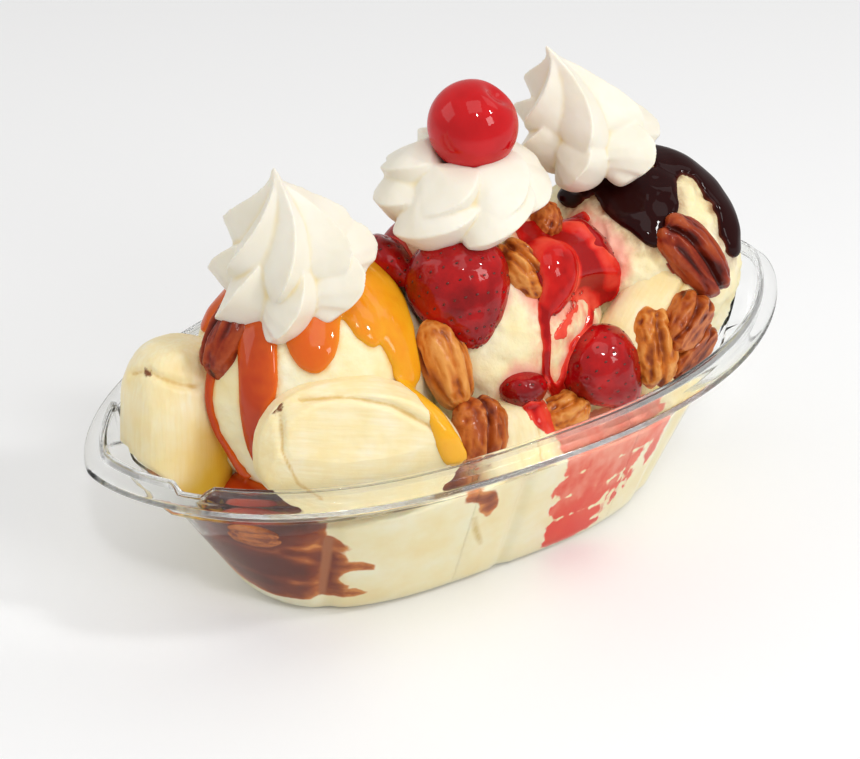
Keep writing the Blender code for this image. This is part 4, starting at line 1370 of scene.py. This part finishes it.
def hollows(piece, passes):
    """How deep each vertex lies in a crease, in mm: its distance under the smoothed surface."""
    mesh = piece.data
    ends = np.empty(len(mesh.edges) * 2, dtype=np.int32)
    mesh.edges.foreach_get("vertices", ends)
    first, second = ends.reshape(-1, 2).T
    both, other = np.concatenate((first, second)), np.concatenate((second, first))
    places, normals = coordinates(piece)
    count = np.maximum(np.bincount(both, minlength=len(places)), 1)
    smoothed = places
    for _ in range(passes):
        sums = [np.bincount(both, smoothed[other, k], len(places)) for k in range(3)]
        smoothed = np.column_stack(sums) / count[:, None]
    return ((smoothed - places) * normals).sum(axis=1) / MM


whipped, whipped_shader = principled(
    "whipped_cream", 0.4, Subsurface_Weight=0.3, Subsurface_Radius=(1.0, 0.8, 0.5), Subsurface_Scale=2 * MM,
    Specular_IOR_Level=0.4)
white = ramp(whipped, noise(whipped, 12 * MM, 2.0), ((0.3, (0.84, 0.79, 0.66)), (0.7, (0.87, 0.83, 0.73))))
# Warm darker colour in the creases between the lobes: painted shade, stronger where a crease is deeper
cream_crease_shade = eased(whipped, attribute(whipped, "hollow"), 0.1, 0.9, 0.95)
link(whipped, mix(whipped, cream_crease_shade, white, (0.84, 0.68, 0.34)), whipped_shader.inputs["Base Color"])
relief(whipped, whipped_shader, (noise(whipped, 2.5 * MM, 3.0), 0.2 * MM, 0.2))
lobes_round_axis = rosette_tree()
items = lobes_round_axis.interface.items_tree
inputs = {item.name: item.identifier for item in items if item.in_out == "INPUT"}

for side, (foot, lean, tilt, radius, tall, softness, keenness, rings) in ROSETTES.items():
    radius, tall = radius * MM, tall * MM
    tiers = []
    for profile, lobes, turn, first in rings:
        tier = mesh_object("tier", *lobe(profile, turn, radius, tall, keenness))
        repeat = tier.modifiers.new("repeat", "NODES")
        repeat.node_group = lobes_round_axis
        repeat[inputs["Lobes"]] = lobes
        repeat[inputs["First heading"]] = math.radians(first)
        repeat[inputs["Lean"]] = [shift * MM for shift in lean] + [0.0]
        repeat[inputs["Height"]] = tall
        tiers.append(flattened(tier))
    unit, faces = ball_grid(24, 16)
    core = unit[:, [1, 2, 0]] * np.array((0.36, 0.36, 0.28)) * (radius, radius, tall)
    core[:, 2] += 0.36 * tall
    tiers.append(mesh_object("core", core, faces))
    swirl = merged(join("whipped_cream_" + side, tiers), 0.4 * MM, softness)
    places, normals = coordinates(swirl)
    soft = np.column_stack([unevenness(places + 0.31 * k, 22 * MM, 1) for k in range(3)])
    places += 1.8 * MM * soft + normals * (0.15 * MM * unevenness(places, 6 * MM))[:, None]
    places[:, 2] += tilt * MM * places[:, 0] / radius * np.clip(1.0 - places[:, 2] / tall, 0.0, 1.0)
    places += np.array(foot) * MM
    move_to(swirl, places)
    # How deep each point lies in a crease, which the cream's colour turns into painted shade
    note(swirl, "hollow", hollows(swirl, 40))
    serve(swirl, whipped, "whipped_cream", "cream_" + side)


# Cherry ---------------------------------------------------------------------------------------
# A stoned cocktail cherry, soaked in red syrup: firm, clear and wet, with the stalk's dimple at the
# upper right.

CHERRY_CENTRE, CHERRY_RADIUS = np.array((7.0, 0.0, 127.8)) * MM, 11.9 * MM
STALK_HEADING, STALK_RISE = -25, 55
unit, faces = ball_grid(96, 64)
dimple = np.exp(-((1.0 - unit[:, 0]) / 0.05) ** 1.2)
cheek = 0.03 * unit[:, 1] * unit[:, 2]
radii = CHERRY_RADIUS * (1.0 - 0.2 * dimple + cheek)
turn = heading_vector(STALK_HEADING, STALK_RISE).to_track_quat("X", "Z").to_matrix()
places = (unit * radii[:, None]) @ np.array(turn).T + CHERRY_CENTRE
cherry = mesh_object("cherry_fruit", places, faces)
cherry_skin, cherry_shader = principled(
    "cherry_skin", 0.2, Coat_Weight=0.7, Coat_Roughness=0.03, Specular_IOR_Level=0.0, Subsurface_Weight=0.15,
    Subsurface_Radius=(1.0, 0.1, 0.08), Subsurface_Scale=3 * MM)
link(cherry_skin, ramp(cherry_skin, noise(cherry_skin, 10 * MM, 2.0), (
    (0.3, (0.48, 0.003, 0.006)), (0.7, (0.62, 0.007, 0.011)))), cherry_shader.inputs["Base Color"])
relief(cherry_skin, cherry_shader, (noise(cherry_skin, 3 * MM, 2.0), 0.2 * MM, 0.12))
serve(cherry, cherry_skin, "cherry_red", "cherry")
